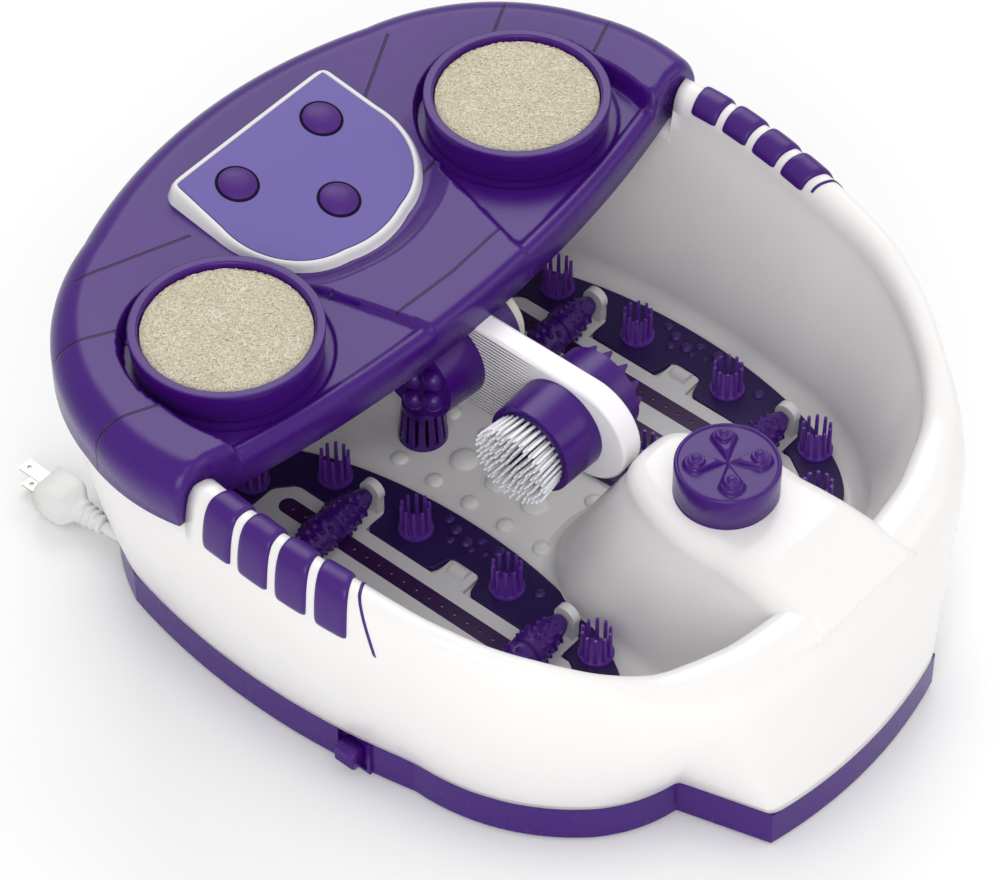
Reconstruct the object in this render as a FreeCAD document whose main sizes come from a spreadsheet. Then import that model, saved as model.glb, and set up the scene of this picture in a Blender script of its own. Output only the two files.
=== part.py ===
import FreeCAD, Part
import Sketcher

import math
import os

from FreeCAD import Placement, Rotation, Vector

# Foot spa basin: a white moulded tub with a front island, on a purple base pan, with a purple top
# cover over its rear half. +Z is up, +Y is the rear, -Y the user's side, and the origin is on the
# floor under the middle of the footprint. Sizes are in millimetres.

doc = FreeCAD.newDocument("FootSpa")
sheet = doc.addObject("Spreadsheet::Sheet", "Dims")

sizes = {
    # base pan and its feet
    "bandBottom": 2.0, "bandTop": 23.0, "panWall": 3.0, "panFloor": 2.5, "footRadius": 8.0,
    # tub
    "tubBottom": 23.4, "bulgeLevel": 125.0, "rimLevel": 172.0, "tubWall": 2.4,
    "floorLevel": 42.0, "rearTop": 147.0, "islandTop": 134.0, "islandRound": 9.0,
    "bumpSmall": 3.6, "bumpLarge": 6.0, "bumpPitch": 22.8, "bumpFirstY": 64.0,
    # screws between pan and tub
    "screwRadius": 1.75, "screwHead": 3.4, "screwLength": 16.0, "bossRadius": 4.0,
    # top cover
    "coverBottom": 148.0, "plateLevel": 166.0, "centreLevel": 169.5, "borderTop": 178.0,
    "borderWidth": 35.0, "coverRound": 11.0, "coverSkin": 3.0, "underThick": 2.0,
    # loofah cups
    "cupX": 104.0, "cupY": 93.0, "cupRadius": 46.0, "cupTop": 183.0, "cupDepth": 18.4,
    "loofahRadius": 40.8, "loofahDrop": 1.5, "seatGap": 3.0, "seatDepth": 1.6,
    # control panel
    "panelTilt": 12.74, "panelRearY": 174.0, "panelRearLevel": 185.0, "overlayThick": 1.0,
    "buttonRadius": 9.5, "buttonProud": 2.6, "buttonStem": 6.0, "buttonGap": 0.3,
    "buttonSideX": 30.0, "buttonRearY": 155.0, "buttonFrontY": 117.0, "boardDrop": 12.5,
    # handle grips
    "gripFirstY": 26.0, "gripPitch": 20.6, "gripLength": 15.6, "gripProud": 1.6, "stripeWide": 2.0,
    # foot beds
    "bedX": 85.5, "bedY": 5.0, "bedHalfWidth": 54.5, "bedHalfLength": 130.0, "matThick": 3.6,
    "crownRadius": 8.8, "crownBase": 1.4, "pinRadius": 1.15, "pinLength": 17.0, "pinRing": 6.9,
    "stripWide": 10.0, "stripLong": 176.0, "stripPitch": 21.5, "stripOffset": 5.0, "stripThick": 1.2,
    "rollerRadius": 9.8, "rollerLength": 54.0, "rollerLevel": 57.5, "axleRadius": 1.5,
    "axleLength": 66.0, "rollerRearY": 51.0, "rollerFrontY": -72.0, "boreGap": 0.06,
    # attachment arm and the attachments on it
    "armHalfThick": 6.5, "armBottom": 95.0, "armTop": 149.0, "armFrontY": -66.0, "armRearY": 96.0,
    "capRadius": 24.5, "capDepth": 23.0, "capLevel": 122.0, "capWall": 2.4, "capGap": 0.3,
    "frontCapY": -28.0, "rearCapY": 44.0, "bristleLength": 15.0, "shortCapDepth": 16.0,
    "studRadius": 9.0, "studLength": 5.0,
    # nub cap on the island
    "nubCapY": -120.5, "nubCapDepth": 20.0, "nubCapRadius": 25.0,
    # water intake
    "intakeY": 66.0, "intakeRadius": 12.6, "intakeTopRadius": 10.4, "intakeDepth": 24.0,
    # side slider
    "sliderY": -24.0, "sliderWide": 12.0, "sliderTall": 13.0, "sliderDeep": 9.0, "sliderLevel": 12.6,
    # works inside the base
    "jetY": -118.0, "jetRadius": 21.0, "motorX": 68.0, "motorY": -62.0, "motorRadius": 11.0,
    "motorLevel": 15.7, "airX": 66.0, "airY": 106.0,
    # mains cord
    "cordRadius": 3.25, "coilX": -66.0, "coilY": 112.0, "coilTurn": 46.3, "coilInner": 19.0,
    "wellRadius": 54.0, "wellTop": 18.6, "wellWall": 2.4, "exitLevel": 7.0,
    "plugX": -128.0, "plugRearY": 177.0, "plugLength": 27.0, "plugLevel": 10.2,
}

for row, (name, value) in enumerate(sizes.items(), start=1):
    sheet.set(f"A{row}", name)
    sheet.set(f"B{row}", str(value))
    sheet.setAlias(f"B{row}", name)
doc.recompute()


def dim(name):
    return float(sheet.get(name))


nodes = []


def keep(thing, label):
    """Names a finished sub-part and lists it for export."""
    thing.Label = label
    nodes.append(thing)
    return thing


def feature(label, shape, placement=None):
    """A sub-part whose shape is worked out here, because no feature of the workbenches fits it."""
    thing = doc.addObject("Part::Feature", label + "_shape")
    thing.Shape = shape
    if placement:
        thing.Placement = placement
    return keep(thing, label)


def worth(term):
    """A size given as a number, a cell's name or (cell, offset): its value and its expression."""
    if isinstance(term, str):
        return dim(term), "Dims." + term
    if isinstance(term, tuple):
        return dim(term[0]) + term[1], f"Dims.{term[0]} + ({term[1]})"
    return term, str(term)


def planeOf(body, role):
    return next(item for item in body.Origin.OriginFeatures if item.Role == role)


def sketchOn(body, role, name):
    sketch = body.newObject("Sketcher::SketchObject", name)
    sketch.AttachmentSupport = (planeOf(body, role), [""])
    sketch.MapMode = "FlatFace"
    return sketch


def wireGeometry(wire):
    """Sketch geometry of a flat wire made of lines and arcs."""
    items = []
    for edge in wire.OrderedEdges:
        first, last = edge.FirstParameter, edge.LastParameter
        if isinstance(edge.Curve, Part.Line):
            items.append(Part.LineSegment(edge.valueAt(first), edge.valueAt(last)))
        elif edge.isClosed():
            items.append(Part.Circle(edge.Curve.Center, Vector(0, 0, 1), edge.Curve.Radius))
        else:
            items.append(Part.Arc(edge.valueAt(first), edge.valueAt((first + last) / 2),
                                  edge.valueAt(last)))
    return items


def padded(name, wire, bottom, top):
    """A body padded from an outline between two levels, each a cell's name or (cell, offset)."""
    body = doc.addObject("PartDesign::Body", name + "_body")
    return extruded(body, wire, bottom, top, name + "_pad", "PartDesign::Pad")


def extruded(body, wire, bottom, top, name, kind):
    """Adds a pad or a pocket to a body, upward from one level to another."""
    sketch = sketchOn(body, "XY_Plane", name + "_sketch")
    flat = wire.copy()
    flat.translate(Vector(0, 0, -flat.BoundBox.ZMin))
    for item in wireGeometry(flat):
        sketch.addGeometry(item, False)
    sketch.setExpression(".AttachmentOffset.Base.z", worth(bottom)[1])
    step = body.newObject(kind, name)
    step.Profile = sketch
    step.Reversed = kind == "PartDesign::Pocket"
    step.setExpression("Length", f"{worth(top)[1]} - ({worth(bottom)[1]})")
    body.Tip = step
    return body


def revolved(label, profile, placement):
    """A body of revolution. The profile's points are (radius, height), and every point is held by
    two dimensions that follow the sheet."""
    body = doc.addObject("PartDesign::Body", label + "_body")
    sketch = sketchOn(body, "XZ_Plane", label + "_profile")
    points = [(worth(r), worth(z)) for r, z in profile]
    count = len(points)
    for index, ((r, _), (z, _)) in enumerate(points):
        (nextR, _), (nextZ, _) = points[(index + 1) % count]
        sketch.addGeometry(Part.LineSegment(Vector(r, z, 0), Vector(nextR, nextZ, 0)), False)
    for index, ((r, rText), (z, zText)) in enumerate(points):
        sketch.addConstraint(Sketcher.Constraint("Coincident", index - 1 if index else count - 1, 2,
                                                 index, 1))
        for kind, value, text in (("DistanceX", r, rText), ("DistanceY", z, zText)):
            if value == 0:
                axis = -2 if kind == "DistanceX" else -1
                sketch.addConstraint(Sketcher.Constraint("PointOnObject", index, 1, axis))
            else:
                number = sketch.addConstraint(Sketcher.Constraint(kind, -1, 1, index, 1, value))
                sketch.setExpression(f"Constraints[{number}]", text)
    turn = body.newObject("PartDesign::Revolution", label + "_turn")
    turn.Profile = sketch
    turn.ReferenceAxis = (sketch, ["V_Axis"])
    turn.Angle = 360
    body.Tip = turn
    body.Placement = placement
    return body


def at(x, y, z, direction=(0, 0, 1)):
    """A placement that takes the +Z axis to a direction."""
    return Placement(Vector(x, y, z), Rotation(Vector(0, 0, 1), Vector(*direction)))


def flatWire(points, level=0.0):
    corners = [Vector(x, y, level) for x, y in points]
    return Part.makePolygon(corners + corners[:1])


def boxWire(x0, y0, x1, y1):
    return flatWire([(x0, y0), (x1, y0), (x1, y1), (x0, y1)])


def arc(start, middle, end, level):
    return Part.Arc(*(Vector(x, y, level) for x, y in (start, middle, end))).toShape()


def flip(point):
    return -point[0], point[1]


def outline(steps, level=0.0):
    """A closed outline, the same on both sides. Its steps run from the rear to the front along the
    right side: a pair of points is an arc's middle and end, a single point a straight side."""
    here = steps["start"]
    right = [arc(flip(here), (0, steps["rear"]), here, level)]
    left = []
    for step in steps["side"]:
        if isinstance(step[0], tuple):
            right.append(arc(here, *step, level))
            left.append(arc(flip(step[1]), flip(step[0]), flip(here), level))
            here = step[1]
        else:
            ends = [Vector(*here, level), Vector(*step, level)]
            right.append(Part.LineSegment(*ends).toShape())
            left.append(Part.LineSegment(*(Vector(-p.x, p.y, p.z) for p in ends[::-1])).toShape())
            here = step
    right.append(arc(here, (0, steps["front"]), flip(here), level))
    return Part.Wire(right + left[::-1])


def grown(steps, level, distance):
    """The outline moved outward, stretch by stretch, so that a loft can pair it with another."""
    here = steps["start"]
    chain = [arc(flip(here), (0, steps["rear"]), here, 0)]
    for step in steps["side"]:
        if isinstance(step[0], tuple):
            chain.append(arc(here, *step, 0))
            here = step[1]
        else:
            chain.append(Part.LineSegment(Vector(*here, 0), Vector(*step, 0)).toShape())
            here = step
    chain.append(arc(here, (0, steps["front"]), flip(here), 0))

    def outward(edge, share):
        first, last = edge.FirstParameter, edge.LastParameter
        along = edge.tangentAt(first + (last - first) * share)
        return Vector(-along.y, along.x, 0).normalize()

    def middle(edge):
        first, last = edge.FirstParameter, edge.LastParameter
        place = edge.valueAt((first + last) / 2) + outward(edge, 0.5) * distance
        return place.x, place.y

    ends = []
    for edge, following in zip(chain, chain[1:]):
        one, two = outward(edge, 1), outward(following, 0)
        both = (one + two).normalize()
        place = edge.valueAt(edge.LastParameter) + both * (distance / both.dot(one))
        ends.append((place.x, place.y))
    side = []
    for step, edge, end in zip(steps["side"], chain[1:], ends[1:]):
        side.append((middle(edge), end) if isinstance(step[0], tuple) else end)
    moved = {"rear": steps["rear"] + distance, "start": ends[0], "side": side,
             "front": steps["front"] - distance}
    return outline(moved, level)


def circleWire(x, y, radius, level=0.0):
    return Part.Wire(Part.Circle(Vector(x, y, level), Vector(0, 0, 1), radius).toShape())


def loft(*wires):
    """A ruled solid through several level outlines."""
    return Part.makeLoft(list(wires), True, True)


def prism(wire, bottom, top):
    face = Part.Face(wire)
    face.translate(Vector(0, 0, bottom - wire.BoundBox.ZMin))
    return face.extrude(Vector(0, 0, top - bottom))


def box(x0, y0, z0, x1, y1, z1):
    return Part.makeBox(x1 - x0, y1 - y0, z1 - z0, Vector(x0, y0, z0))


def rod(x, y, z0, z1, radius):
    return Part.makeCylinder(radius, z1 - z0, Vector(x, y, z0))


# Outlines of the pan and of the tub, from the floor up. Those on the outside share the same
# stretches, and so do those on the inside, so that a ruled surface between two of them is even.
baseOutline = {
    "rear": 206, "start": (75, 192), "front": -212,
    "side": [((118, 166), (148, 125)), ((158.5, 50), (148, -57)), ((133, -114), (114, -139)),
             ((97, -151), (77, -158)), (63.5, -204)],
}
bulgeOutline = {
    "rear": 206, "start": (85, 196), "front": -209,
    "side": [((140, 166), (172, 118)), ((185, 40), (177, -66)), ((161, -114), (136, -149)),
             ((121, -169), (104, -184)), (80, -198)],
}
rimOutline = {
    "rear": 200, "start": (80, 190), "front": -198,
    "side": [((132, 162), (164, 115)), ((176, 40), (170, -64)), ((153, -110), (130, -141)),
             ((114, -161), (98, -174)), (74, -188)],
}
floorOutline = {
    "rear": 150, "start": (75, 143), "front": -150,
    "side": [((117, 127), (139, 96)), ((148, 30), (143, -50)), ((133, -94), (113, -124)),
             ((101, -134), (87, -140)), (55, -147)],
}
mouthOutline = {
    "rear": 168, "start": (80, 158), "front": -178,
    "side": [((127, 140), (153, 104)), ((165, 40), (160, -54)), ((150, -99), (132, -130)),
             ((116, -148), (96, -161)), (62, -173)],
}
# The island: its foot on the tub floor and its top, both run on through the front wall.
islandFoot = {
    "rear": -32, "start": (14, -34), "front": -203,
    "side": [((34, -50), (44, -90)), (50, -196)],
}
islandCrown = {
    "rear": -77, "start": (14, -79), "front": -203,
    "side": [((22, -96), (27, -140)), (32, -196)],
}
# Height of the tub's edge along its length, from the cover to the nose, as (y, z).
rimHeights = [(45, 169.5), (10, 168), (-45, 162), (-68, 158.5), (-94, 154.5), (-113, 150),
              (-129, 146), (-144, 141), (-158, 136), (-170, 131), (-180, 128.5), (-215, 124)]
# The top cover, whose bowed front edge faces the user, and the panel's shield shape on it.
coverOutline = {
    "rear": 212, "start": (100, 192), "front": 26,
    "side": [((156, 158), (184, 108)), ((190, 78), (187, 47)), (166, 47)],
}
shieldOutline = {"rear": 174, "start": (52, 173.9), "front": 92.5,
                 "side": [(54, 143), ((47, 112), (20, 96))]}
screwSpots = [(136, 30), (-136, 30), (118, -90), (-118, -90), (62, -131), (-62, -131), (30, 141)]
footSpots = [(64, -146), (-64, -146), (128, 100), (-128, 66), (0, 190), (0, -196)]
crownSpots = [(33.5, 78), (33.5, 25.5), (33.5, -32.5), (29.5, -91),
              (-33.5, 78), (-33.5, 25.5), (-33.5, -32.5), (-29.5, -91), (5, 107), (0, -114)]


def underRim(drop):
    """Everything below the tub's edge, lowered by the drop."""
    heights = [(y, z - drop) for y, z in rimHeights]
    rear = dim("rearTop") - drop
    points = [(230, 0), (230, rear), (45.2, rear)] + heights + [(-230, heights[-1][1]), (-230, 0)]
    corners = [Vector(-230, y, z) for y, z in points]
    face = Part.Face(Part.makePolygon(corners + corners[:1]))
    return face.extrude(Vector(460, 0, 0))


def islandBody():
    block = loft(outline(islandFoot, dim("floorLevel") - 2), outline(islandCrown, dim("islandTop")))
    crown = [edge for edge in block.Edges if edge.BoundBox.ZMin > dim("islandTop") - 1]
    return block.makeFillet(dim("islandRound"), crown)


def floorBumps():
    """The low domes on the tub floor: two rows of small ones and a middle row of large ones."""
    pitch, first = dim("bumpPitch"), dim("bumpFirstY")
    spots = [(x, first - pitch * row, dim("bumpSmall")) for row in range(5) for x in (-20, 20)]
    spots += [(0, first - pitch * (row + 1.1), dim("bumpLarge")) for row in range(3)]
    for x, y, radius in spots:
        ball = Part.makeSphere(radius * 1.25, Vector(x, y, dim("floorLevel") - radius * 0.75))
        yield ball.common(box(x - 9, y - 9, dim("floorLevel") - 1, x + 9, y + 9, 60))


def buildTub():
    wall = dim("tubWall")
    level, bulge, rim = dim("floorLevel"), dim("bulgeLevel"), dim("rimLevel")
    outer = loft(outline(baseOutline, dim("tubBottom")), outline(bulgeOutline, bulge),
                 outline(rimOutline, rim))
    inset = loft(grown(baseOutline, dim("tubBottom") - 1, -wall), grown(bulgeOutline, bulge, -wall),
                 grown(rimOutline, rim, -wall))
    cavity = loft(outline(floorOutline, level), outline(mouthOutline, bulge),
                  outline(mouthOutline, rim + 10))
    liner = loft(grown(floorOutline, level - wall, wall), grown(mouthOutline, bulge, wall),
                 grown(mouthOutline, rim + 10, wall))
    core = loft(grown(islandFoot, level - wall - 1, -wall),
                grown(islandCrown, dim("islandTop") - wall - 5, -wall - 3))
    hollow = inset.common(underRim(wall)).cut(liner.cut(core))
    tub = outer.common(underRim(0)).cut(cavity.cut(islandBody())).cut(hollow)
    spindle = rod(0, dim("nubCapY"), dim("islandTop") - wall - 1, dim("islandTop") + 5, 6)
    tub = tub.fuse([spindle] + list(floorBumps()))
    for x, y in screwSpots:
        boss = rod(x, y, dim("bandBottom") + dim("panFloor"), level - wall / 2, dim("bossRadius"))
        tub = tub.fuse(boss)
    for x, y in screwSpots:
        tub = tub.cut(rod(x, y, 0, dim("screwLength"), dim("screwRadius")))
    feature("tub", tub)


def buildPan():
    """The tray, the ribbed well under it that stores the cord, and the well's two channels."""
    body = padded("base_pan", outline(baseOutline), "bandBottom", "bandTop")
    pad, pocket = "PartDesign::Pad", "PartDesign::Pocket"
    extruded(body, grown(baseOutline, 0, -dim("panWall")), ("bandBottom", dim("panFloor")),
             "bandTop", "tray", pocket)
    doc.recompute()
    wall, radius = dim("wellWall"), dim("wellRadius")
    centre = (dim("coilX"), dim("coilY"))
    low = centre[1] - dim("coilTurn")
    inlet = boxWire(centre[0], low - 9, 6, low + 9)
    inletWall = boxWire(centre[0], low - 9 - wall, 6 + wall, low + 9 + wall)
    outlet = flatWire([(-121, 116), (-137.5, 170), (-118, 176), (-103, 122)])
    outletWall = flatWire([(-123.5, 116), (-139.5, 156), (-115, 170), (-100.5, 122)])
    inside = Part.Face(grown(baseOutline, 0, -1))
    trimmed = inside.common(Part.Face(outletWall)).Faces[0].OuterWire
    parts = [("well", circleWire(*centre, radius + wall)), ("inlet", inletWall), ("outlet", trimmed)]
    for name, wire in parts:
        extruded(body, wire, "bandBottom", ("wellTop", wall), name + "Wall", pad)
        doc.recompute()
    for name, wire in [("well", circleWire(*centre, radius)), ("inlet", inlet), ("outlet", outlet)]:
        extruded(body, wire, ("bandBottom", -1.0), "wellTop", name, pocket)
        doc.recompute()
    slot = dim("sliderWide") / 2 + 2.5
    recess = boxWire(-164, dim("sliderY") - slot, -152.6, dim("sliderY") + slot)
    backing = boxWire(-154.6, dim("sliderY") - slot - 2, -150.6, dim("sliderY") + slot + 2)
    extruded(body, backing, "bandBottom", "bandTop", "sliderBacking", pad)
    doc.recompute()
    extruded(body, recess, ("bandBottom", 1.6), ("bandTop", 1.0), "sliderRecess", pocket)
    doc.recompute()
    for index, (x, y) in enumerate(screwSpots):
        extruded(body, circleWire(x, y, dim("screwRadius")), ("bandBottom", -1.0), ("bandBottom", 4.0),
                 f"screwHole{index}", pocket)
    doc.recompute()
    glandHole = body.newObject("PartDesign::SubtractiveCylinder", "glandHole")
    glandHole.Radius = 4.5
    glandHole.Height = 8
    glandHole.Placement = at(4, low, dim("exitLevel"), (1, 0, 0))
    body.Tip = glandHole
    keep(body, "base_pan")


def buildSmallBaseParts():
    feet = [rod(x, y, 0, dim("bandBottom"), dim("footRadius")) for x, y in footSpots]
    feature("rubber_feet", Part.makeCompound(feet))
    screws = []
    for x, y in screwSpots:
        head = rod(x, y, 0.4, dim("bandBottom"), dim("screwHead"))
        screws.append(head.fuse(rod(x, y, 0.4, dim("screwLength"), dim("screwRadius"))))
    feature("base_screws", Part.makeCompound(screws))
    wide, tall, deep = dim("sliderWide"), dim("sliderTall"), dim("sliderDeep")
    knob = box(-152.7 - deep, dim("sliderY") - wide / 2, 0, -152.7, dim("sliderY") + wide / 2, tall)
    knob = knob.makeFillet(2.2, [e for e in knob.Edges if e.BoundBox.XMax < -153])
    for number in range(6):
        groove = 2.6 + number * 1.5
        knob = knob.cut(box(-153 - deep, dim("sliderY") - wide / 2 + 2, groove,
                            -152.2 - deep, dim("sliderY") + wide / 2 - 2, groove + 0.7))
    knob.translate(Vector(0, 0, dim("sliderLevel") - tall / 2))
    feature("side_slider", knob)


def buildCover():
    skin, low = dim("coverSkin"), dim("coverBottom")
    whole = outline(coverOutline)
    solid = prism(whole, low, dim("borderTop"))
    shoulder = [e for e in solid.Edges if e.BoundBox.ZMin > dim("borderTop") - 1
                and e.BoundBox.YMax > 60]
    solid = solid.makeFillet(dim("coverRound"), shoulder)
    border = whole.makeOffset2D(-dim("borderWidth"))
    reach = Part.Face(border).fuse(Part.Face(boxWire(-146, 20, 146, 80)))
    plate = reach.removeSplitter().extrude(Vector(0, 0, 40))
    plate.translate(Vector(0, 0, dim("plateLevel")))
    solid = solid.cut(plate)
    centre = flatWire([(-34.5, 20), (34.5, 20), (38, 47), (60, 92), (60, 176), (-60, 176), (-60, 92),
                       (-38, 47)])
    raised = prism(centre, dim("plateLevel") - 1, dim("centreLevel"))
    solid = solid.fuse(raised.common(prism(whole, 0, 300)))
    inner = whole.makeOffset2D(-skin)
    solid = solid.cut(prism(inner, low - 1, dim("plateLevel") - skin))
    rib = whole.makeOffset2D(-dim("borderWidth") + skin)
    raisedRing = prism(whole.makeOffset2D(-skin - 6), low, dim("borderTop") - skin)
    solid = solid.cut(raisedRing.cut(prism(rib, low - 1, 300)).common(box(-200, 60, 0, 200, 220, 300)))
    for side in (-1, 1):
        seat = rod(side * dim("cupX"), dim("cupY"), dim("plateLevel") - dim("seatDepth"),
                   dim("borderTop") + 5, dim("cupRadius") + dim("seatGap"))
        solid = solid.cut(seat)
    solid = solid.cut(prism(grown(shieldOutline, 0, 5), dim("plateLevel"), 300))
    solid = solid.cut(prism(outline(shieldOutline), dim("plateLevel") - 1, 300))
    solid = solid.cut(prism(grown(shieldOutline, 0, -3), low, 300))
    half = dim("armHalfThick") + 0.2
    solid = solid.cut(box(-half, 20, low - 1, half, 40, dim("armTop") + 0.2))
    feature("top_cover", solid)
    under = whole.makeOffset2D(-skin - 0.4)
    padded("cover_underplate", under, ("coverBottom", 1.0), ("coverBottom", 3.0))
    keep(doc.getObject("cover_underplate_body"), "cover_underplate")


def panelPlacement():
    """The tilted plane of the panel's face: x across, y up the slope, z out of it."""
    turn = Rotation(Vector(1, 0, 0), dim("panelTilt"))
    return Placement(Vector(0, dim("panelRearY"), dim("panelRearLevel")), turn)


def onPanel(x, y, drop=0.0):
    """A placement on the panel's face above a place on the plan, turned with the face."""
    slope = math.radians(dim("panelTilt"))
    along = (y - dim("panelRearY")) / math.cos(slope)
    return panelPlacement().multiply(Placement(Vector(x, along, -drop), Rotation()))


def buildPanel():
    """The bezel's wedge is cut to the panel's slope, and the overlay and buttons lie on the slope."""
    rim = grown(shieldOutline, 0, 5)
    cutter = Part.makeBox(400, 400, 60, Vector(-200, -200, 0))
    cutter.Placement = panelPlacement().multiply(cutter.Placement)
    block = prism(rim, dim("plateLevel"), 200).cut(cutter)
    shell = prism(outline(shieldOutline), 100, 220)
    floorCut = Part.makeBox(400, 400, 60, Vector(-200, -200, -60 - dim("overlayThick") - 2))
    floorCut.Placement = panelPlacement().multiply(floorCut.Placement)
    pocket = prism(grown(shieldOutline, 0, -2), 100, 220).common(floorCut)
    face = Part.makeBox(400, 400, 60, Vector(-200, -200, -dim("overlayThick")))
    face.Placement = panelPlacement().multiply(face.Placement)
    bezel = block.cut(shell.common(face)).cut(pocket)
    slab = Part.makeBox(400, 400, dim("overlayThick"), Vector(-200, -200, -dim("overlayThick")))
    slab.Placement = panelPlacement().multiply(slab.Placement)
    overlay = prism(grown(shieldOutline, 0, -0.15), 100, 220).common(slab)
    spots = [("vibration_button", -dim("buttonSideX"), dim("buttonRearY")),
             ("bubble_button", dim("buttonSideX"), dim("buttonRearY")),
             ("jet_button", 0, dim("buttonFrontY"))]
    for label, x, y in spots:
        hole = Part.makeCylinder(dim("buttonRadius") + dim("buttonGap"), 20, Vector(0, 0, -10))
        hole.Placement = onPanel(x, y).multiply(hole.Placement)
        bezel = bezel.cut(hole)
        overlay = overlay.cut(hole)
        profile = [(0, 0), ("buttonRadius", 0), ("buttonRadius", ("buttonStem", 0.4)),
                   (("buttonRadius", -1.4), ("buttonStem", 1.5)),
                   (("buttonRadius", -4.0), ("buttonStem", 2.2)), (0, ("buttonStem", 2.6))]
        keep(revolved(label, profile, onPanel(x, y, dim("buttonStem"))), label)
    feature("control_bezel", bezel)
    feature("control_overlay", overlay)
    board = Part.makeBox(84, 70, 1.6, Vector(-42, -72, -dim("boardDrop") - 1.6))
    board.Placement = panelPlacement().multiply(board.Placement)
    board = board.common(prism(grown(shieldOutline, 0, -4.5), 100, 220))
    for label, x, y in spots:
        switch = Part.makeCylinder(3, dim("boardDrop") - dim("buttonStem") - 2.2,
                                   Vector(0, 0, -dim("boardDrop") - 0.2))
        switch.Placement = onPanel(x, y).multiply(switch.Placement)
        board = board.fuse(switch)
    feature("control_board", board)


def buildCups():
    for side, name in ((-1, "left"), (1, "right")):
        place = at(side * dim("cupX"), dim("cupY"), dim("cupTop") - dim("cupDepth"))
        ring = [(0, 0), (("cupRadius", -1.2), 0), ("cupRadius", 1.2), ("cupRadius", ("cupDepth", -1.2)),
                (("cupRadius", -1.2), "cupDepth"), (("loofahRadius", 0.2), "cupDepth"),
                (("loofahRadius", 0.2), 3.0), (0, 3.0)]
        keep(revolved("loofah_cup_" + name, ring, place), "loofah_cup_" + name)
        pad = [(0, 3.0), ("loofahRadius", 3.0), ("loofahRadius", ("cupDepth", -2.5)),
               (("loofahRadius", -1.5), ("cupDepth", -1.5)), (0, ("cupDepth", -1.3))]
        keep(revolved("loofah_pad_" + name, pad, place), "loofah_pad_" + name)


def handleSolid():
    """The tub's rim and walls as if they were solid, for what fits over them."""
    bulge, rim = dim("bulgeLevel"), dim("rimLevel")
    outer = loft(outline(bulgeOutline, bulge), outline(rimOutline, rim))
    inner = prism(outline(mouthOutline), bulge - 1, rim + 10)
    return outer.common(underRim(0)).cut(inner)


def sleeve(middle, long, proud, crest, outerLow, innerLow):
    """A block over the right-hand handle, proud of it all round and down to two levels."""
    bulge, rim = dim("bulgeLevel"), dim("rimLevel")
    wide = loft(grown(bulgeOutline, bulge, proud), grown(rimOutline, rim, proud))
    inner = prism(grown(mouthOutline, 0, -proud), bulge - 1, rim + 10)
    near = box(100, middle - long / 2, outerLow, 200, middle + long / 2, crest)
    band = wide.common(near).cut(inner)
    return band.cut(box(100, -200, outerLow - 1, 168.5, 200, innerLow))


def buildGrips():
    """The grips and the thin stripe wrap over the handle and are cut to its shape."""
    proud, handle = dim("gripProud"), handleSolid()
    grips = []
    for number in range(4):
        middle = dim("gripFirstY") - dim("gripPitch") * number
        crest = 168.8 + (middle - 26) * 0.09 + proud
        grips.append(sleeve(middle, dim("gripLength"), proud, crest, 139.0, 150.5 - 2.5 * number))
    stripe = sleeve(-47, dim("stripeWide"), 0.7, 162.6, 137.0, 148.0).cut(handle)
    right = Part.makeCompound([grip.cut(handle) for grip in grips])
    for name, turned in (("left", True), ("right", False)):
        for label, shape in (("grips_" + name, right), ("rim_stripe_" + name, stripe)):
            feature(label, shape.mirror(Vector(), Vector(1, 0, 0)) if turned else shape)


def bedEllipse(x):
    far = Vector(x, dim("bedY") + dim("bedHalfLength"), 0)
    side = Vector(x - dim("bedHalfWidth"), dim("bedY"), 0)
    return Part.Wire(Part.Ellipse(far, side, Vector(x, dim("bedY"), 0)).toShape())


def bedWindow(x, gap=0.0):
    """The opening in the mat that the roller frame fills: a long slot, two pairs of lugs for the
    rollers' mounts and one pair for the clips."""
    slot = Part.Face(flatWire([(x - 22 + gap, -88), (x - 14 + gap, -97 + gap), (x + 10, -97 + gap),
                               (x + 18 - gap, -84), (x + 18 - gap, 88), (x + 8, 97 - gap),
                               (x - 12, 97 - gap), (x - 22 + gap, 86)]))
    lugs = [(dim("rollerRearY"), 33.5, 7), (dim("rollerFrontY"), 33.5, 7), (-9, 31, 9)]
    for y, half, tall in lugs:
        slot = slot.fuse(Part.Face(boxWire(x - half + gap, y - tall + gap, x + half - gap,
                                           y + tall - gap)))
    return slot.removeSplitter()


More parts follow.
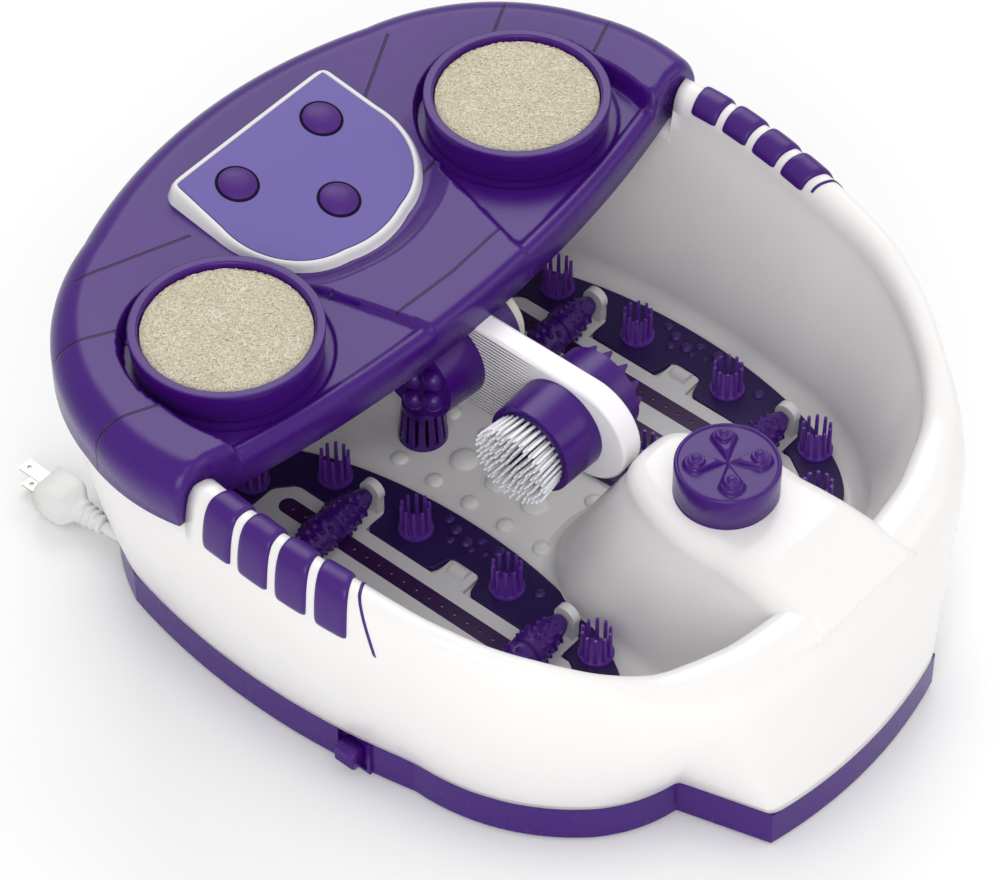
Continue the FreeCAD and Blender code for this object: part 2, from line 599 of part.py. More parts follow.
def buildBeds():
    level = dim("floorLevel")
    for side, name in ((-1, "left"), (1, "right")):
        x = side * dim("bedX")
        mat = prism(bedEllipse(x), level, level + dim("matThick"))
        window = bedWindow(x).extrude(Vector(0, 0, 30))
        window.translate(Vector(0, 0, level - 1))
        feature("foot_mat_" + name, mat.cut([window, islandBody()]))
        crowns = []
        top = level + dim("matThick")
        for u, y in crownSpots:
            crown = rod(x + u, y, top, top + dim("crownBase"), dim("crownRadius"))
            for number in range(10):
                turn = math.radians(36 * number)
                pin = Part.makeCone(dim("pinRadius"), dim("pinRadius") * 0.75, dim("pinLength"))
                pin.translate(Vector(x + u + dim("pinRing") * math.cos(turn),
                                     y + dim("pinRing") * math.sin(turn), top + 0.4))
                crown = crown.fuse(pin)
            crowns.append(crown)
        feature("pin_crowns_" + name, Part.makeCompound(crowns))
        frame = bedWindow(x, 0.3).extrude(Vector(0, 0, dim("matThick") - 0.8))
        frame.translate(Vector(0, 0, level))
        strips = []
        for offset in (dim("stripOffset"), dim("stripOffset") - dim("stripPitch")):
            half, long = dim("stripWide") / 2, dim("stripLong") / 2
            ends = [rod(x + offset, y, 0, 1, half) for y in (long - half, half - long)]
            body = box(x + offset - half, half - long, 0, x + offset + half, long - half, 1)
            slot = body.fuse(ends).removeSplitter()
            groove = slot.copy()
            groove.translate(Vector(0, 0, level + dim("matThick") - 1.8))
            frame = frame.cut(groove)
            low = level + dim("matThick") - 1.8
            strip = box(x + offset - half + 0.1, half - long, low, x + offset + half - 0.1,
                        long - half, low + dim("stripThick"))
            strip = strip.fuse([rod(x + offset, y, low, low + dim("stripThick"), half - 0.1)
                                for y in (long - half, half - long)])
            for number in range(21):
                hole = rod(x + offset, 80 - 8.0 * number, low - 1, low + 3, 0.8)
                strip = strip.cut(hole)
            strips.append(strip)
        feature("bubble_strips_" + name, Part.makeCompound(strips))
        frame = frame.fuse(list(rollerMounts(x)) + list(bedClips(x)))
        feature("roller_frame_" + name, frame)
        buildRollers(x, name)


def rollerMounts(x):
    """The four loops that hold the axles' ends: a ring on a short leg."""
    top = dim("rollerLevel")
    for y in (dim("rollerRearY"), dim("rollerFrontY")):
        for end in (-1, 1):
            inner = x + end * 28.6
            low, high = sorted((inner, inner + end * 4.6))
            ring = Part.makeCylinder(6.2, high - low, Vector(low, y, top), Vector(1, 0, 0))
            leg = box(low, y - 5.4, dim("floorLevel"), high, y + 5.4, top)
            bore = Part.makeCylinder(dim("axleRadius"), high - low + 2, Vector(low - 1, y, top),
                                     Vector(1, 0, 0))
            yield ring.fuse(leg).cut(bore)


def bedClips(x):
    """Half-round clips beside the slot."""
    top = dim("floorLevel") + dim("matThick") - 0.8
    for end in (-1, 1):
        clip = Part.makeCylinder(4.2, 9, Vector(x + end * 26.5, -13.5, top - 1), Vector(0, 1, 0))
        yield clip.common(box(x - 40, -20, top - 0.5, x + 40, 0, top + 4))


def buildRollers(x, name):
    for y, place in ((dim("rollerRearY"), "rear"), (dim("rollerFrontY"), "front")):
        label = f"roller_{name}_{place}"
        half = dim("rollerLength") / 2
        bore = ("axleRadius", dim("boreGap"))
        profile = [(bore, 0), (4.2, 0), (5.4, 3), (7.6, 10), (9.2, 17), ("rollerRadius", 24),
                   (("rollerRadius", -1.6), half - 0.8), (("rollerRadius", -1.6), half + 0.8),
                   ("rollerRadius", ("rollerLength", -24)), (9.2, ("rollerLength", -17)),
                   (7.6, ("rollerLength", -10)), (5.4, ("rollerLength", -3)),
                   (4.2, "rollerLength"), (bore, "rollerLength")]
        keep(revolved(label, profile, at(x - half, y, dim("rollerLevel"), (1, 0, 0))), label)
        pin = [(0, 0), ("axleRadius", 0), ("axleRadius", "axleLength"), (0, "axleLength")]
        axle = f"axle_{name}_{place}"
        keep(revolved(axle, pin, at(x - dim("axleLength") / 2, y, dim("rollerLevel"), (1, 0, 0))), axle)


def capProfile(depth, faceInset):
    """A hollow cap: open at its foot, closed at its face, with a socket inside for the stud."""
    inside, wall = (depth, -dim("capWall")), dim("capWall")
    socket = ("studRadius", dim("boreGap"))
    return [(("capRadius", -wall), 0), ("capRadius", 0), (("capRadius", -faceInset), depth),
            (0, depth), (0, inside), (socket, inside), (socket, 0.4), (("studRadius", 2.0), 0.4),
            (("studRadius", 2.0), inside), (("capRadius", -faceInset - wall), inside)]


def buildArm():
    low, high, half = dim("armBottom"), dim("armTop"), dim("armHalfThick")
    radius = (high - low) / 2
    front = dim("armFrontY") + radius
    side = Part.makeCylinder(radius, 2 * half, Vector(-half, front, (low + high) / 2), Vector(1, 0, 0))
    arm = side.fuse(box(-half, front, low, half, dim("armRearY"), high)).removeSplitter()
    edges = [e for e in arm.Edges if abs(e.BoundBox.XMax - e.BoundBox.XMin) < 0.01
             and e.BoundBox.YMin < dim("armRearY") - 1]
    arm = arm.makeFillet(2.0, edges)
    for x in (-1, 1):
        for y in (dim("frontCapY"), dim("rearCapY")):
            stud = Part.makeCylinder(dim("studRadius"), dim("studLength"),
                                     Vector(x * half, y, dim("capLevel")), Vector(x, 0, 0))
            arm = arm.fuse(stud)
    feature("attachment_arm", arm)


def buildCaps():
    half, gap = dim("armHalfThick"), dim("capGap")
    level, front, rear = dim("capLevel"), dim("frontCapY"), dim("rearCapY")
    deep, short = "capDepth", "shortCapDepth"
    keep(revolved("brush_cap", capProfile(deep, 0.8), at(-half - gap, front, level, (-1, 0, 0))), "brush_cap")
    face = Part.makeCylinder(20.5, 1.6, Vector(0, 0, dim(deep)))
    for ring, count in ((0, 1), (4.6, 6), (9.2, 12), (13.6, 18), (18.0, 24)):
        for number in range(count):
            turn = math.radians(360 / count * number)
            tuft = Part.makeCylinder(1.15, dim("bristleLength"), Vector(0, 0, dim(deep) + 1))
            tuft.rotate(Vector(0, 0, 0), Vector(0, 1, 0), ring * 0.35)
            tuft.translate(Vector(ring - dim(deep) * math.sin(math.radians(ring * 0.35)), 0, 0))
            tuft.rotate(Vector(0, 0, 0), Vector(0, 0, 1), math.degrees(turn))
            face = face.fuse(tuft)
    feature("brush_bristles", face, at(-half - gap, front, level, (-1, 0, 0)))
    bulbs = revolved("bulb_cap", capProfile(deep, 1.6), at(-half - gap, rear, level, (-1, 0, 0)))
    doc.recompute()
    shape = bulbs.Shape.copy()
    shape.Placement = Placement()
    for number in range(7):
        turn = math.radians(60 * number)
        ring = 0 if number == 6 else 14.2
        ball = Part.makeSphere(5.8, Vector(ring * math.cos(turn), ring * math.sin(turn), dim(deep)))
        shape = shape.fuse(ball.common(rod(0, 0, dim(deep) - 1, 99, 30)))
    doc.removeObject(bulbs.Name)
    feature("bulb_cap", shape, at(-half - gap, rear, level, (-1, 0, 0)))
    keep(revolved("pumice_cap", capProfile(short, 2.6), at(half + gap, rear, level, (1, 0, 0))), "pumice_cap")
    stone = [(0, short), ((("capRadius"), -4.4), short), (("capRadius", -4.4), (short, 5.0)),
             (("capRadius", -6.0), (short, 6.6)), (0, (short, 7.0))]
    keep(revolved("pumice_stone", stone, at(half + gap, rear, level, (1, 0, 0))), "pumice_stone")
    points = revolved("point_cap", capProfile(short, 1.4), at(half + gap, front, level, (1, 0, 0)))
    doc.recompute()
    shape = points.Shape.copy()
    shape.Placement = Placement()
    for ring, count in ((0, 1), (9.5, 6), (18.6, 12)):
        for number in range(count):
            turn = math.radians(360 / count * number)
            cone = Part.makeCone(3.6, 0.7, 7.5, Vector(ring * math.cos(turn), ring * math.sin(turn),
                                                       dim(short) - 0.5))
            shape = shape.fuse(cone)
    doc.removeObject(points.Name)
    feature("point_cap", shape, at(half + gap, front, level, (1, 0, 0)))


def buildNubCap():
    """The round cap on the island, with four teardrop lobes and a stepped nub on each."""
    depth, radius, wall = dim("nubCapDepth"), dim("nubCapRadius"), dim("capWall")
    shell = Part.makeCone(radius, radius - 0.7, depth)
    shell = shell.cut(Part.makeCylinder(radius - wall, depth - wall))
    socket = Part.makeCylinder(8.2, depth - 0.8, Vector(0, 0, 0.4))
    shell = shell.fuse(socket.cut(Part.makeCylinder(6.06, depth - wall)))
    for number in range(4):
        lobe = Part.makeCone(7.2, 4.6, 3.0, Vector(15.6, 0, depth - 0.4))
        tail = flatWire([(-1, -0.9), (14, -6.6), (14, 6.6), (-1, 0.9)], depth - 0.4)
        tail = Part.Face(tail).extrude(Vector(0, 0, 1.6))
        steps = [(5.0, 2.2), (3.6, 4.2), (2.3, 6.4)]
        nub = [Part.makeCylinder(r, z, Vector(15.6, 0, depth)) for r, z in steps]
        lobe = lobe.fuse([tail] + nub)
        lobe.rotate(Vector(), Vector(0, 0, 1), 45 + 90 * number)
        shell = shell.fuse(lobe)
    feature("nub_cap", shell, at(0, dim("nubCapY"), dim("islandTop") + dim("capGap")))


def buildIntake():
    low, high, tall = dim("intakeRadius"), dim("intakeTopRadius"), dim("intakeDepth")
    cone = Part.makeCone(low, high, tall).cut(Part.makeCone(low - 2, high - 2, tall - 2))
    for number in range(14):
        slot = box(high - 5, -0.85, 3, low + 3, 0.85, tall - 3)
        slot.rotate(Vector(), Vector(0, 0, 1), 360 / 14 * number)
        cone = cone.cut(slot)
    feature("intake_cone", cone, at(0, dim("intakeY"), dim("floorLevel") + 0.1))


def buildWorks():
    """What the base hides: heater plate, vibration motor, air pump, jet pump and its motor."""
    low = dim("bandBottom") + dim("panFloor")
    under = dim("floorLevel") - dim("tubWall")
    feature("heater_plate", box(-52, -24, under - 2.4, 52, 30, under))
    x, y, level, radius = dim("motorX"), dim("motorY"), dim("motorLevel"), dim("motorRadius")
    case = Part.makeCylinder(radius, 36, Vector(x, y - 18, level), Vector(0, 1, 0))
    case = case.fuse(box(x - radius, y - 14, low, x + radius, y + 14, level))
    case = case.cut(Part.makeCylinder(1.55, 30, Vector(x, y + 4, level), Vector(0, 1, 0)))
    feature("vibration_motor", case)
    shaft = Part.makeCylinder(1.5, 24, Vector(x, y + 6, level), Vector(0, 1, 0))
    lump = Part.makeCylinder(9, 8, Vector(x, y + 20, level), Vector(0, 1, 0), 180)
    feature("eccentric_weight", shaft.fuse(lump))
    x, y = dim("airX"), dim("airY")
    pump = box(x - 27, y - 20, low, x + 27, y + 20, low + 27)
    pump = pump.makeFillet(3, [e for e in pump.Edges if abs(e.BoundBox.ZLength) > 20])
    feature("air_pump", pump)
    y, radius = dim("jetY"), dim("jetRadius")
    housing = [(2.05, 0), ("jetRadius", 0), ("jetRadius", 24), (2.05, 24), (2.05, 22),
               (("jetRadius", -2), 22), (("jetRadius", -2), 2), (2.05, 2)]
    keep(revolved("jet_housing", housing, at(0, y, low)), "jet_housing")
    wheel = Part.makeCylinder(2.0, 24, Vector(0, 0, 0.5)).fuse(Part.makeCylinder(15, 1.6,
                                                                               Vector(0, 0, 6)))
    for number in range(6):
        blade = box(3, -0.7, 7, 15, 0.7, 15)
        blade.rotate(Vector(), Vector(0, 0, 1), 60 * number)
        wheel = wheel.fuse(blade)
    feature("jet_impeller", wheel, at(0, y, low))
    motor = [(2.3, 24.0), (14, 24.0), (14, 58), (0, 58), (0, 26.5), (2.3, 26.5)]
    keep(revolved("jet_motor", motor, at(0, y, low)), "jet_motor")


def cordPath(points):
    """Straight runs joined by tangent arcs, each as large as its two runs allow."""
    corners = [Vector(*p) for p in points]
    edges, start = [], corners[0]
    for before, corner, after in zip(corners, corners[1:], corners[2:]):
        come, go = corner - before, after - corner
        turn = come.getAngle(go)
        reach = 0.45 * min(come.Length, go.Length)
        radius = reach / math.tan(turn / 2)
        print(f"cord arc: turn {math.degrees(turn):.1f} degrees, radius {radius:.1f} mm")
        first = corner - come * (reach / come.Length)
        last = corner + go * (reach / go.Length)
        inward = (first + last) * 0.5 - corner
        centre = corner + inward * (math.hypot(radius, reach) / inward.Length)
        middle = centre + (corner - centre) * (radius / (corner - centre).Length)
        edges.append(Part.LineSegment(start, first).toShape())
        edges.append(Part.Arc(first, middle, last).toShape())
        start = last
    edges.append(Part.LineSegment(start, corners[-1]).toShape())
    return Part.Wire(edges)


def tube(points):
    path = cordPath(points)
    away = Vector(*points[1]) - Vector(*points[0])
    ring = Part.Wire(Part.Circle(Vector(*points[0]), away, dim("cordRadius")).toShape())
    solid = path.makePipeShell([ring], True, False)
    section = math.pi * dim("cordRadius") ** 2
    print(f"cord tube: length {path.Length:.1f} mm, volume / (section x length) "
          f"{solid.Volume / section / path.Length:.4f}")
    return solid


exitRoute = [(-20, 65.7, 7.0), (-32, 65.7, 6.6), (-44, 65.6, 5.4), (-55, 65.6, 4.1), (-66, 65.7, 3.4)]
plugRoute = [(-112.3, 112, 9.8), (-113.8, 124, 9.3), (-118.6, 135, 8.8), (-124.9, 145, 9.4),
             (-128, 155, 10.2), (-128, 165, 10.2)]


def buildCord():
    """The lead from its gland to a coil in the base's well, and from the coil to the plug."""
    high = 4 * dim("cordRadius") + 0.2
    outer = dim("coilTurn") + dim("cordRadius")
    coil = [(dim("coilInner"), 0.1), (outer, 0.1), (outer, high), (dim("coilInner"), high)]
    keep(revolved("cord_coil", coil, at(dim("coilX"), dim("coilY"), 0)), "cord_coil")
    turns = rod(dim("coilX"), dim("coilY"), -5, 40, outer)
    feature("cord_tube", tube(exitRoute).cut(turns))
    feature("cord_lead", tube(plugRoute).cut(turns))
    gland = [("cordRadius", 0), (4.2, 0), (5.4, 20), (5.4, 24.0), (4.5, 24.0), (4.5, 32), ("cordRadius", 32)]
    keep(revolved("strain_relief", gland, at(*exitRoute[0], (1, 0, 0))), "strain_relief")


def buildPlug():
    x, rear, level, long = dim("plugX"), dim("plugRearY"), dim("plugLevel"), dim("plugLength")
    half = level - 0.2
    profile = [(0.0, 6.4, 5.6), (5.0, 9.6, 8.6), (long - 7, 11.0, half), (long, 11.0, half)]
    wires = []
    for along, wide, tall in profile:
        corners = [Vector(x + u * wide, rear + along, level + v * tall)
                   for u, v in ((-1, -1), (1, -1), (1, 1), (-1, 1))]
        wires.append(Part.makePolygon(corners + corners[:1]))
    body = Part.makeLoft(wires, True, True)
    body = body.makeFillet(2.2, [e for e in body.Edges if e.BoundBox.YLength > 2])
    tail = [(dim("cordRadius"), 0), (4.3, 0), (5.8, 12.5), (dim("cordRadius"), 12.5)]
    tailShape = Part.Face(Part.makePolygon([Vector(r, 0, h) for r, h in tail + tail[:1]]))
    tailShape = tailShape.revolve(Vector(), Vector(0, 0, 1), 360)
    tailShape.Placement = at(x, rear - 12, level, (0, 1, 0))
    plug = body.fuse(tailShape)
    feature("plug_body", plug)
    blades = []
    for offset, wide in ((-6.35, 3.2), (6.35, 3.9)):
        blade = box(x - wide, rear + long, level + offset - 0.75, x + wide, rear + long + 17,
                    level + offset + 0.75)
        blades.append(blade.cut(rod(x, rear + long + 13, 0, 30, 1.5)))
    feature("plug_blades", Part.makeCompound(blades))


buildPan()
buildTub()
buildSmallBaseParts()
buildCover()
buildPanel()
buildCups()
buildGrips()
buildBeds()
buildArm()
buildCaps()
buildNubCap()
buildIntake()
buildWorks()
buildCord()
buildPlug()
doc.recompute()

for thing in doc.Objects:
    if "Invalid" in thing.State or "Error" in thing.State:
        raise RuntimeError(f"{thing.Label} failed: {thing.State}")
for node in nodes:
    if node.Shape.isNull() or not node.Shape.isValid():
        raise RuntimeError(f"{node.Label} has no valid shape")
os.makedirs("parts", exist_ok=True)
for node in nodes:
    node.Shape.exportStep(f"parts/{node.Label}.step")
    size = node.Shape.BoundBox
    print(f"{node.Label}: {len(node.Shape.Solids)} solids, {node.Shape.Volume / 1000:.2f} cm3, "
          f"x {size.XMin:.1f} {size.XMax:.1f} y {size.YMin:.1f} {size.YMax:.1f} "
          f"z {size.ZMin:.1f} {size.ZMax:.1f}")
print(len(nodes), "sub-parts")
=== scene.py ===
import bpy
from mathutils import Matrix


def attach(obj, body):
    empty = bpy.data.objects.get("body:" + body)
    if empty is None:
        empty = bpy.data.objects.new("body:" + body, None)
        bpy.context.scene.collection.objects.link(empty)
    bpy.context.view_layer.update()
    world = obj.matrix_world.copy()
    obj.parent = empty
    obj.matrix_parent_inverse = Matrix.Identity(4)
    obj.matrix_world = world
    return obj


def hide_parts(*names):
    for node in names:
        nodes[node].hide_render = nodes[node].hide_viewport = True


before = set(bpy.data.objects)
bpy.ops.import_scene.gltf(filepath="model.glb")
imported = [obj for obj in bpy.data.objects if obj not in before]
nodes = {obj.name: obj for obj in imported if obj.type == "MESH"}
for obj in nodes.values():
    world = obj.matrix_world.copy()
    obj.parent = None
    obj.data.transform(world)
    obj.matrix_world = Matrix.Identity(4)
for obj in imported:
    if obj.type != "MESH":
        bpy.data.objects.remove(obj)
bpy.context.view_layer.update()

import math

import bmesh
import bpy
import numpy as np
from mathutils import Matrix, Vector

mm = 0.001


# view

view = {"azimuth": -49.716, "elevation": 47.514, "distance": 1.94587, "lens": 144.0,
        "target": (0.0, 0.01592, 0.07275)}


def linked(item):
    bpy.context.scene.collection.objects.link(item)
    return item


def placeCamera(look):
    a, e = math.radians(look["azimuth"]), math.radians(look["elevation"])
    back = Vector((math.sin(a) * math.cos(e), -math.cos(a) * math.cos(e), math.sin(e)))
    camera = bpy.data.objects.new("camera", bpy.data.cameras.new("camera"))
    camera.data.lens = look["lens"]
    camera.data.sensor_width = 36.0
    camera.data.clip_end = 20
    camera.location = Vector(look["target"]) + back * look["distance"]
    camera.rotation_euler = back.to_track_quat("Z", "Y").to_euler()
    bpy.context.scene.camera = linked(camera)


placeCamera(view)


# mesh helpers

def newPiece(name, vertices, faces, smooth=True):
    mesh = bpy.data.meshes.new(name)
    mesh.from_pydata(np.asarray(vertices, float).reshape(-1, 3).tolist(), [], faces)
    mesh.validate()
    mesh.polygons.foreach_set("use_smooth", [smooth] * len(mesh.polygons))
    return linked(bpy.data.objects.new(name, mesh))


# Faces of a grid of rows x columns vertices, first one numbered start. around joins the last
# column to the first, and over joins the last row to the first.
def gridFaces(rows, columns, around=True, over=False, start=0, turned=False):
    r = np.arange(rows if over else rows - 1)
    c = np.arange(columns if around else columns - 1)
    r, c = np.meshgrid(r, c, indexing="ij")
    r2, c2 = (r + 1) % rows, (c + 1) % columns
    quads = np.stack([r * columns + c, r * columns + c2, r2 * columns + c2, r2 * columns + c], -1)
    quads = quads.reshape(-1, 4) + start
    return (quads[:, ::-1] if turned else quads).tolist()


# Merges doubles within a distance in metres and turns the faces outwards.
def cleaned(piece, merge=0.00001):
    work = bmesh.new()
    work.from_mesh(piece.data)
    bmesh.ops.remove_doubles(work, verts=work.verts, dist=merge)
    bmesh.ops.dissolve_degenerate(work, edges=work.edges, dist=merge / 10)
    bmesh.ops.recalc_face_normals(work, faces=work.faces)
    work.to_mesh(piece.data)
    work.free()
    return piece


# Plan points (x, y) lifted to a level, which is one number or one for each point.
def atLevel(plan, level):
    return np.column_stack([plan, np.broadcast_to(level, len(plan))])


# The triangles that join a row of a grid to one centre point.
def fan(first, columns, hub):
    return [(first + i, first + (i + 1) % columns, hub) for i in range(columns)]


# A closed grid: rows of points, each row a loop, with a centre point closing the first and last.
def closedGrid(name, rings):
    rings = np.asarray(rings, float)
    rows, columns = rings.shape[:2]
    points = np.vstack([rings.reshape(-1, 3), rings[0].mean(0), rings[-1].mean(0)])
    faces = gridFaces(rows, columns) + fan(0, columns, rows * columns)
    faces += fan((rows - 1) * columns, columns, rows * columns + 1)
    return cleaned(newPiece(name, points, faces))


# Joins several point sets into one piece: each part is (vertices, faces numbered from 0).
def joined(name, parts):
    points, faces, start = [], [], 0
    for vertices, theirs in parts:
        vertices = np.asarray(vertices, float).reshape(-1, 3)
        points.append(vertices)
        faces += [[index + start for index in face] for face in theirs]
        start += len(vertices)
    return newPiece(name, np.vstack(points), faces)


# A surface of revolution: radius r and height z along a profile, turned about the z axis in
# count steps. The profile's ends may lie on the axis or stay open.
def turnedRings(profile, count):
    profile = np.asarray(profile, float)
    turn = np.linspace(0, 2 * np.pi, count, endpoint=False)
    r, z = profile[:, :1], profile[:, 1:2]
    return np.stack([r * np.cos(turn), r * np.sin(turn), z * np.ones_like(turn)], -1)


# Rounds a profile: each inner corner gives way to a quadratic curve that starts and ends reach
# away from it, or just under half a side away where that is less.
def rounded(profile, reach, steps=5):
    profile = np.asarray(profile, float)
    out = [profile[0]]
    for before, corner, after in zip(profile, profile[1:], profile[2:]):
        come, go = before - corner, after - corner
        cut = min(reach, 0.48 * np.linalg.norm(come), 0.48 * np.linalg.norm(go))
        first = corner + come / max(np.linalg.norm(come), 1e-9) * cut
        last = corner + go / max(np.linalg.norm(go), 1e-9) * cut
        share = np.linspace(0, 1, steps)[:, None]
        out += list((1 - share) ** 2 * first + 2 * share * (1 - share) * corner + share ** 2 * last)
    out.append(profile[-1])
    return np.array(out)


# Repeatable smooth noise on points: a sum of sines whose directions come from a seeded generator.
def ripple(points, size, seed, octaves=14):
    dice = np.random.default_rng(seed)
    points = np.asarray(points, float)
    total = np.zeros(points.shape[:-1])
    for _ in range(octaves):
        way = dice.normal(size=points.shape[-1])
        way *= 2 * np.pi / (size * dice.uniform(0.6, 1.6)) / np.linalg.norm(way)
        total += np.sin(points @ way + dice.uniform(0, 6.28))
    return total / math.sqrt(octaves)


def moveInto(piece, matrix):
    piece.data.transform(matrix)
    return piece


def finished(piece, material, body, *replaced, slot=None):
    piece.data.materials.clear()
    piece.data.materials.append(material)
    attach(piece, body)
    if replaced:
        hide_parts(*replaced)
    return piece


# materials

# A shader node with its sockets filled: a socket takes another node's output or a plain value.
def addNode(tree, kind, sockets, **settings):
    node = tree.nodes.new("ShaderNode" + kind)
    for key, value in settings.items():
        setattr(node, key, value)
    fill(tree, node, sockets)
    return node


def fill(tree, node, sockets):
    for key, value in sockets.items():
        if isinstance(value, bpy.types.NodeSocket):
            tree.links.new(value, node.inputs[key])
        else:
            node.inputs[key].default_value = value


def objectPlace(tree):
    return addNode(tree, "TexCoord", {}).outputs["Object"]


def noise(tree, place, scale, detail):
    sockets = {"Scale": scale, "Detail": detail, "Vector": place}
    return addNode(tree, "TexNoise", sockets).outputs["Fac"]


# A surface normal that follows a height, laid over another normal where one is given.
def bumped(tree, height, strength, distance, normal=None):
    sockets = {"Strength": strength, "Distance": distance, "Height": height}
    if normal is not None:
        sockets["Normal"] = normal
    return addNode(tree, "Bump", sockets).outputs["Normal"]


# A moulded plastic: colour drifts a little between two tones, roughness varies in soft patches,
# and a fine grain and a broad, shallow ripple stand in the surface.
def plastic(name, tone, tone2, rough=0.25, roughSpread=0.08, grain=1400.0, grainHeight=0.02,
            specular=0.5, subsurface=0.0, patch=14.0, broad=0.03):
    material = bpy.data.materials.new(name)
    material.use_nodes = True
    tree = material.node_tree
    place = objectPlace(tree)
    tones = addNode(tree, "Mix", {"Factor": noise(tree, place, patch, 3.0), "A": (*tone, 1),
                                  "B": (*tone2, 1)}, data_type="RGBA")
    dull = addNode(tree, "MapRange", {"Value": noise(tree, place, patch * 4, 4.0),
                                      "To Min": rough - roughSpread, "To Max": rough + roughSpread})
    fine = bumped(tree, noise(tree, place, grain, 2.0), grainHeight, 0.001)
    wave = bumped(tree, noise(tree, place, 22.0, 1.0), broad, 0.002, fine)
    fill(tree, tree.nodes["Principled BSDF"],
         {"Base Color": tones.outputs["Result"], "Roughness": dull.outputs["Result"], "Normal": wave,
          "Specular IOR Level": specular, "Subsurface Weight": subsurface,
          "Subsurface Radius": (0.004, 0.003, 0.003), "Subsurface Scale": 1.0})
    material["tones"] = tones.name
    return material


# Fine ribs on a material: a sine of the height as bump, fading in over 25 mm behind frontY.
def ribbed(material, pitch, frontY):
    tree = material.node_tree
    shader = tree.nodes["Principled BSDF"]
    apart = addNode(tree, "SeparateXYZ", {0: objectPlace(tree)})
    turns = addNode(tree, "Math", {0: apart.outputs["Z"], 1: 2 * math.pi / pitch},
                    operation="MULTIPLY")
    wave = addNode(tree, "Math", {0: turns.outputs[0]}, operation="SINE")
    fade = addNode(tree, "MapRange", {"Value": apart.outputs["Y"], "From Min": frontY,
                                      "From Max": frontY + 0.025})
    height = addNode(tree, "Math", {0: wave.outputs[0], 1: fade.outputs["Result"]},
                     operation="MULTIPLY")
    before = shader.inputs["Normal"].links[0].from_socket
    fill(tree, shader, {"Normal": bumped(tree, height.outputs[0], 0.9, 0.0008, before)})
    return material


def metal(name, tone, rough):
    material = plastic(name, tone, [c * 0.85 for c in tone], rough, 0.08, 900.0, 0.05)
    material.node_tree.nodes["Principled BSDF"].inputs["Metallic"].default_value = 1.0
    return material


# Thin grooves drawn on a material along straight lines from a to b, in metres, each a band
# where the distance to the line is under half its width; it dips, and it is painted near black as
# shade in the groove.
def groove(material, lines, width):
    tree = material.node_tree
    shader = tree.nodes["Principled BSDF"]
    flat = addNode(tree, "VectorMath", {0: objectPlace(tree), 1: (1, 1, 0)}, operation="MULTIPLY")
    nearest = None
    for a, b in lines:
        a, b = Vector((*a, 0)), Vector((*b, 0))
        middle, half, way = (a + b) / 2, (b - a).length / 2, (b - a).normalized()
        away = addNode(tree, "VectorMath", {0: flat.outputs[0], 1: middle}, operation="SUBTRACT")
        along = addNode(tree, "VectorMath", {0: away.outputs[0], 1: way}, operation="DOT_PRODUCT")
        held = addNode(tree, "Clamp", {"Value": along.outputs["Value"], "Min": -half, "Max": half})
        foot = addNode(tree, "VectorMath", {0: way, "Scale": held.outputs["Result"]},
                       operation="SCALE")
        gap = addNode(tree, "VectorMath", {0: away.outputs[0], 1: foot.outputs[0]},
                      operation="DISTANCE").outputs["Value"]
        if nearest is not None:
            gap = addNode(tree, "Math", {0: nearest, 1: gap}, operation="MINIMUM").outputs[0]
        nearest = gap
    dip = addNode(tree, "MapRange", {"Value": nearest, "From Min": width * 0.25,
                                     "From Max": width * 0.75},
                  interpolation_type="SMOOTHSTEP").outputs["Result"]
    # painted shade: the middle of each groove turns near black
    dark = addNode(tree, "Mix", {"Factor": dip, "A": (0.006, 0.002, 0.02, 1),
                                 "B": tree.nodes[material["tones"]].outputs["Result"]},
                   data_type="RGBA")
    before = shader.inputs["Normal"].links[0].from_socket
    fill(tree, shader, {"Base Color": dark.outputs["Result"],
                        "Normal": bumped(tree, dip, 0.6, 0.0008, before)})
    return material


shellTones = (0.042, 0.0038, 0.150), (0.050, 0.005, 0.170)
whiteShell = plastic("whiteShell", (0.80, 0.785, 0.775), (0.84, 0.825, 0.815), 0.22, 0.05, 1500.0,
                     0.012, subsurface=0.05, broad=0.02)
whiteTrim = plastic("whiteTrim", (0.66, 0.65, 0.66), (0.74, 0.73, 0.735), 0.32, 0.06)
whiteArm = plastic("whiteArm", (0.86, 0.84, 0.86), (0.90, 0.88, 0.90), 0.3, 0.05)
ribbed(whiteArm, 0.0021, -0.012)
purpleShell = plastic("purpleShell", *shellTones, 0.27, 0.02, 1500.0, specular=0.24, broad=0.012)
purplePart = plastic("purplePart", (0.042, 0.0038, 0.145), (0.052, 0.005, 0.17), 0.27, 0.03,
                     specular=0.32, broad=0.015)
purpleSoft = plastic("purpleSoft", (0.020, 0.007, 0.072), (0.027, 0.010, 0.092), 0.40, 0.07, 900.0,
                     0.05, specular=0.3)
purpleGrip = plastic("purpleGrip", (0.040, 0.0038, 0.145), (0.050, 0.005, 0.17), 0.33, 0.03, 900.0,
                     0.05, specular=0.36)
studPurple = plastic("studPurple", (0.036, 0.010, 0.125), (0.048, 0.014, 0.15), 0.36, 0.04,
                     specular=0.4)
purplePin = plastic("purplePin", (0.12, 0.028, 0.33), (0.16, 0.045, 0.40), 0.33, 0.06, specular=0.4)
panelFilm = plastic("panelFilm", (0.100, 0.070, 0.30), (0.135, 0.098, 0.36), 0.42, 0.05, 2600.0,
                    0.04, specular=0.4, patch=6.0)
buttonPurple = plastic("buttonPurple", (0.050, 0.006, 0.15), (0.070, 0.010, 0.19), 0.40, 0.06,
                       1800.0, 0.07, specular=0.3)
bristleWhite = plastic("bristleWhite", (0.80, 0.80, 0.84), (0.88, 0.88, 0.91), 0.32, 0.05,
                       subsurface=0.15)
darkStrip = plastic("darkStrip", (0.033, 0.008, 0.060), (0.046, 0.012, 0.085), 0.36, 0.07,
                    specular=0.35)
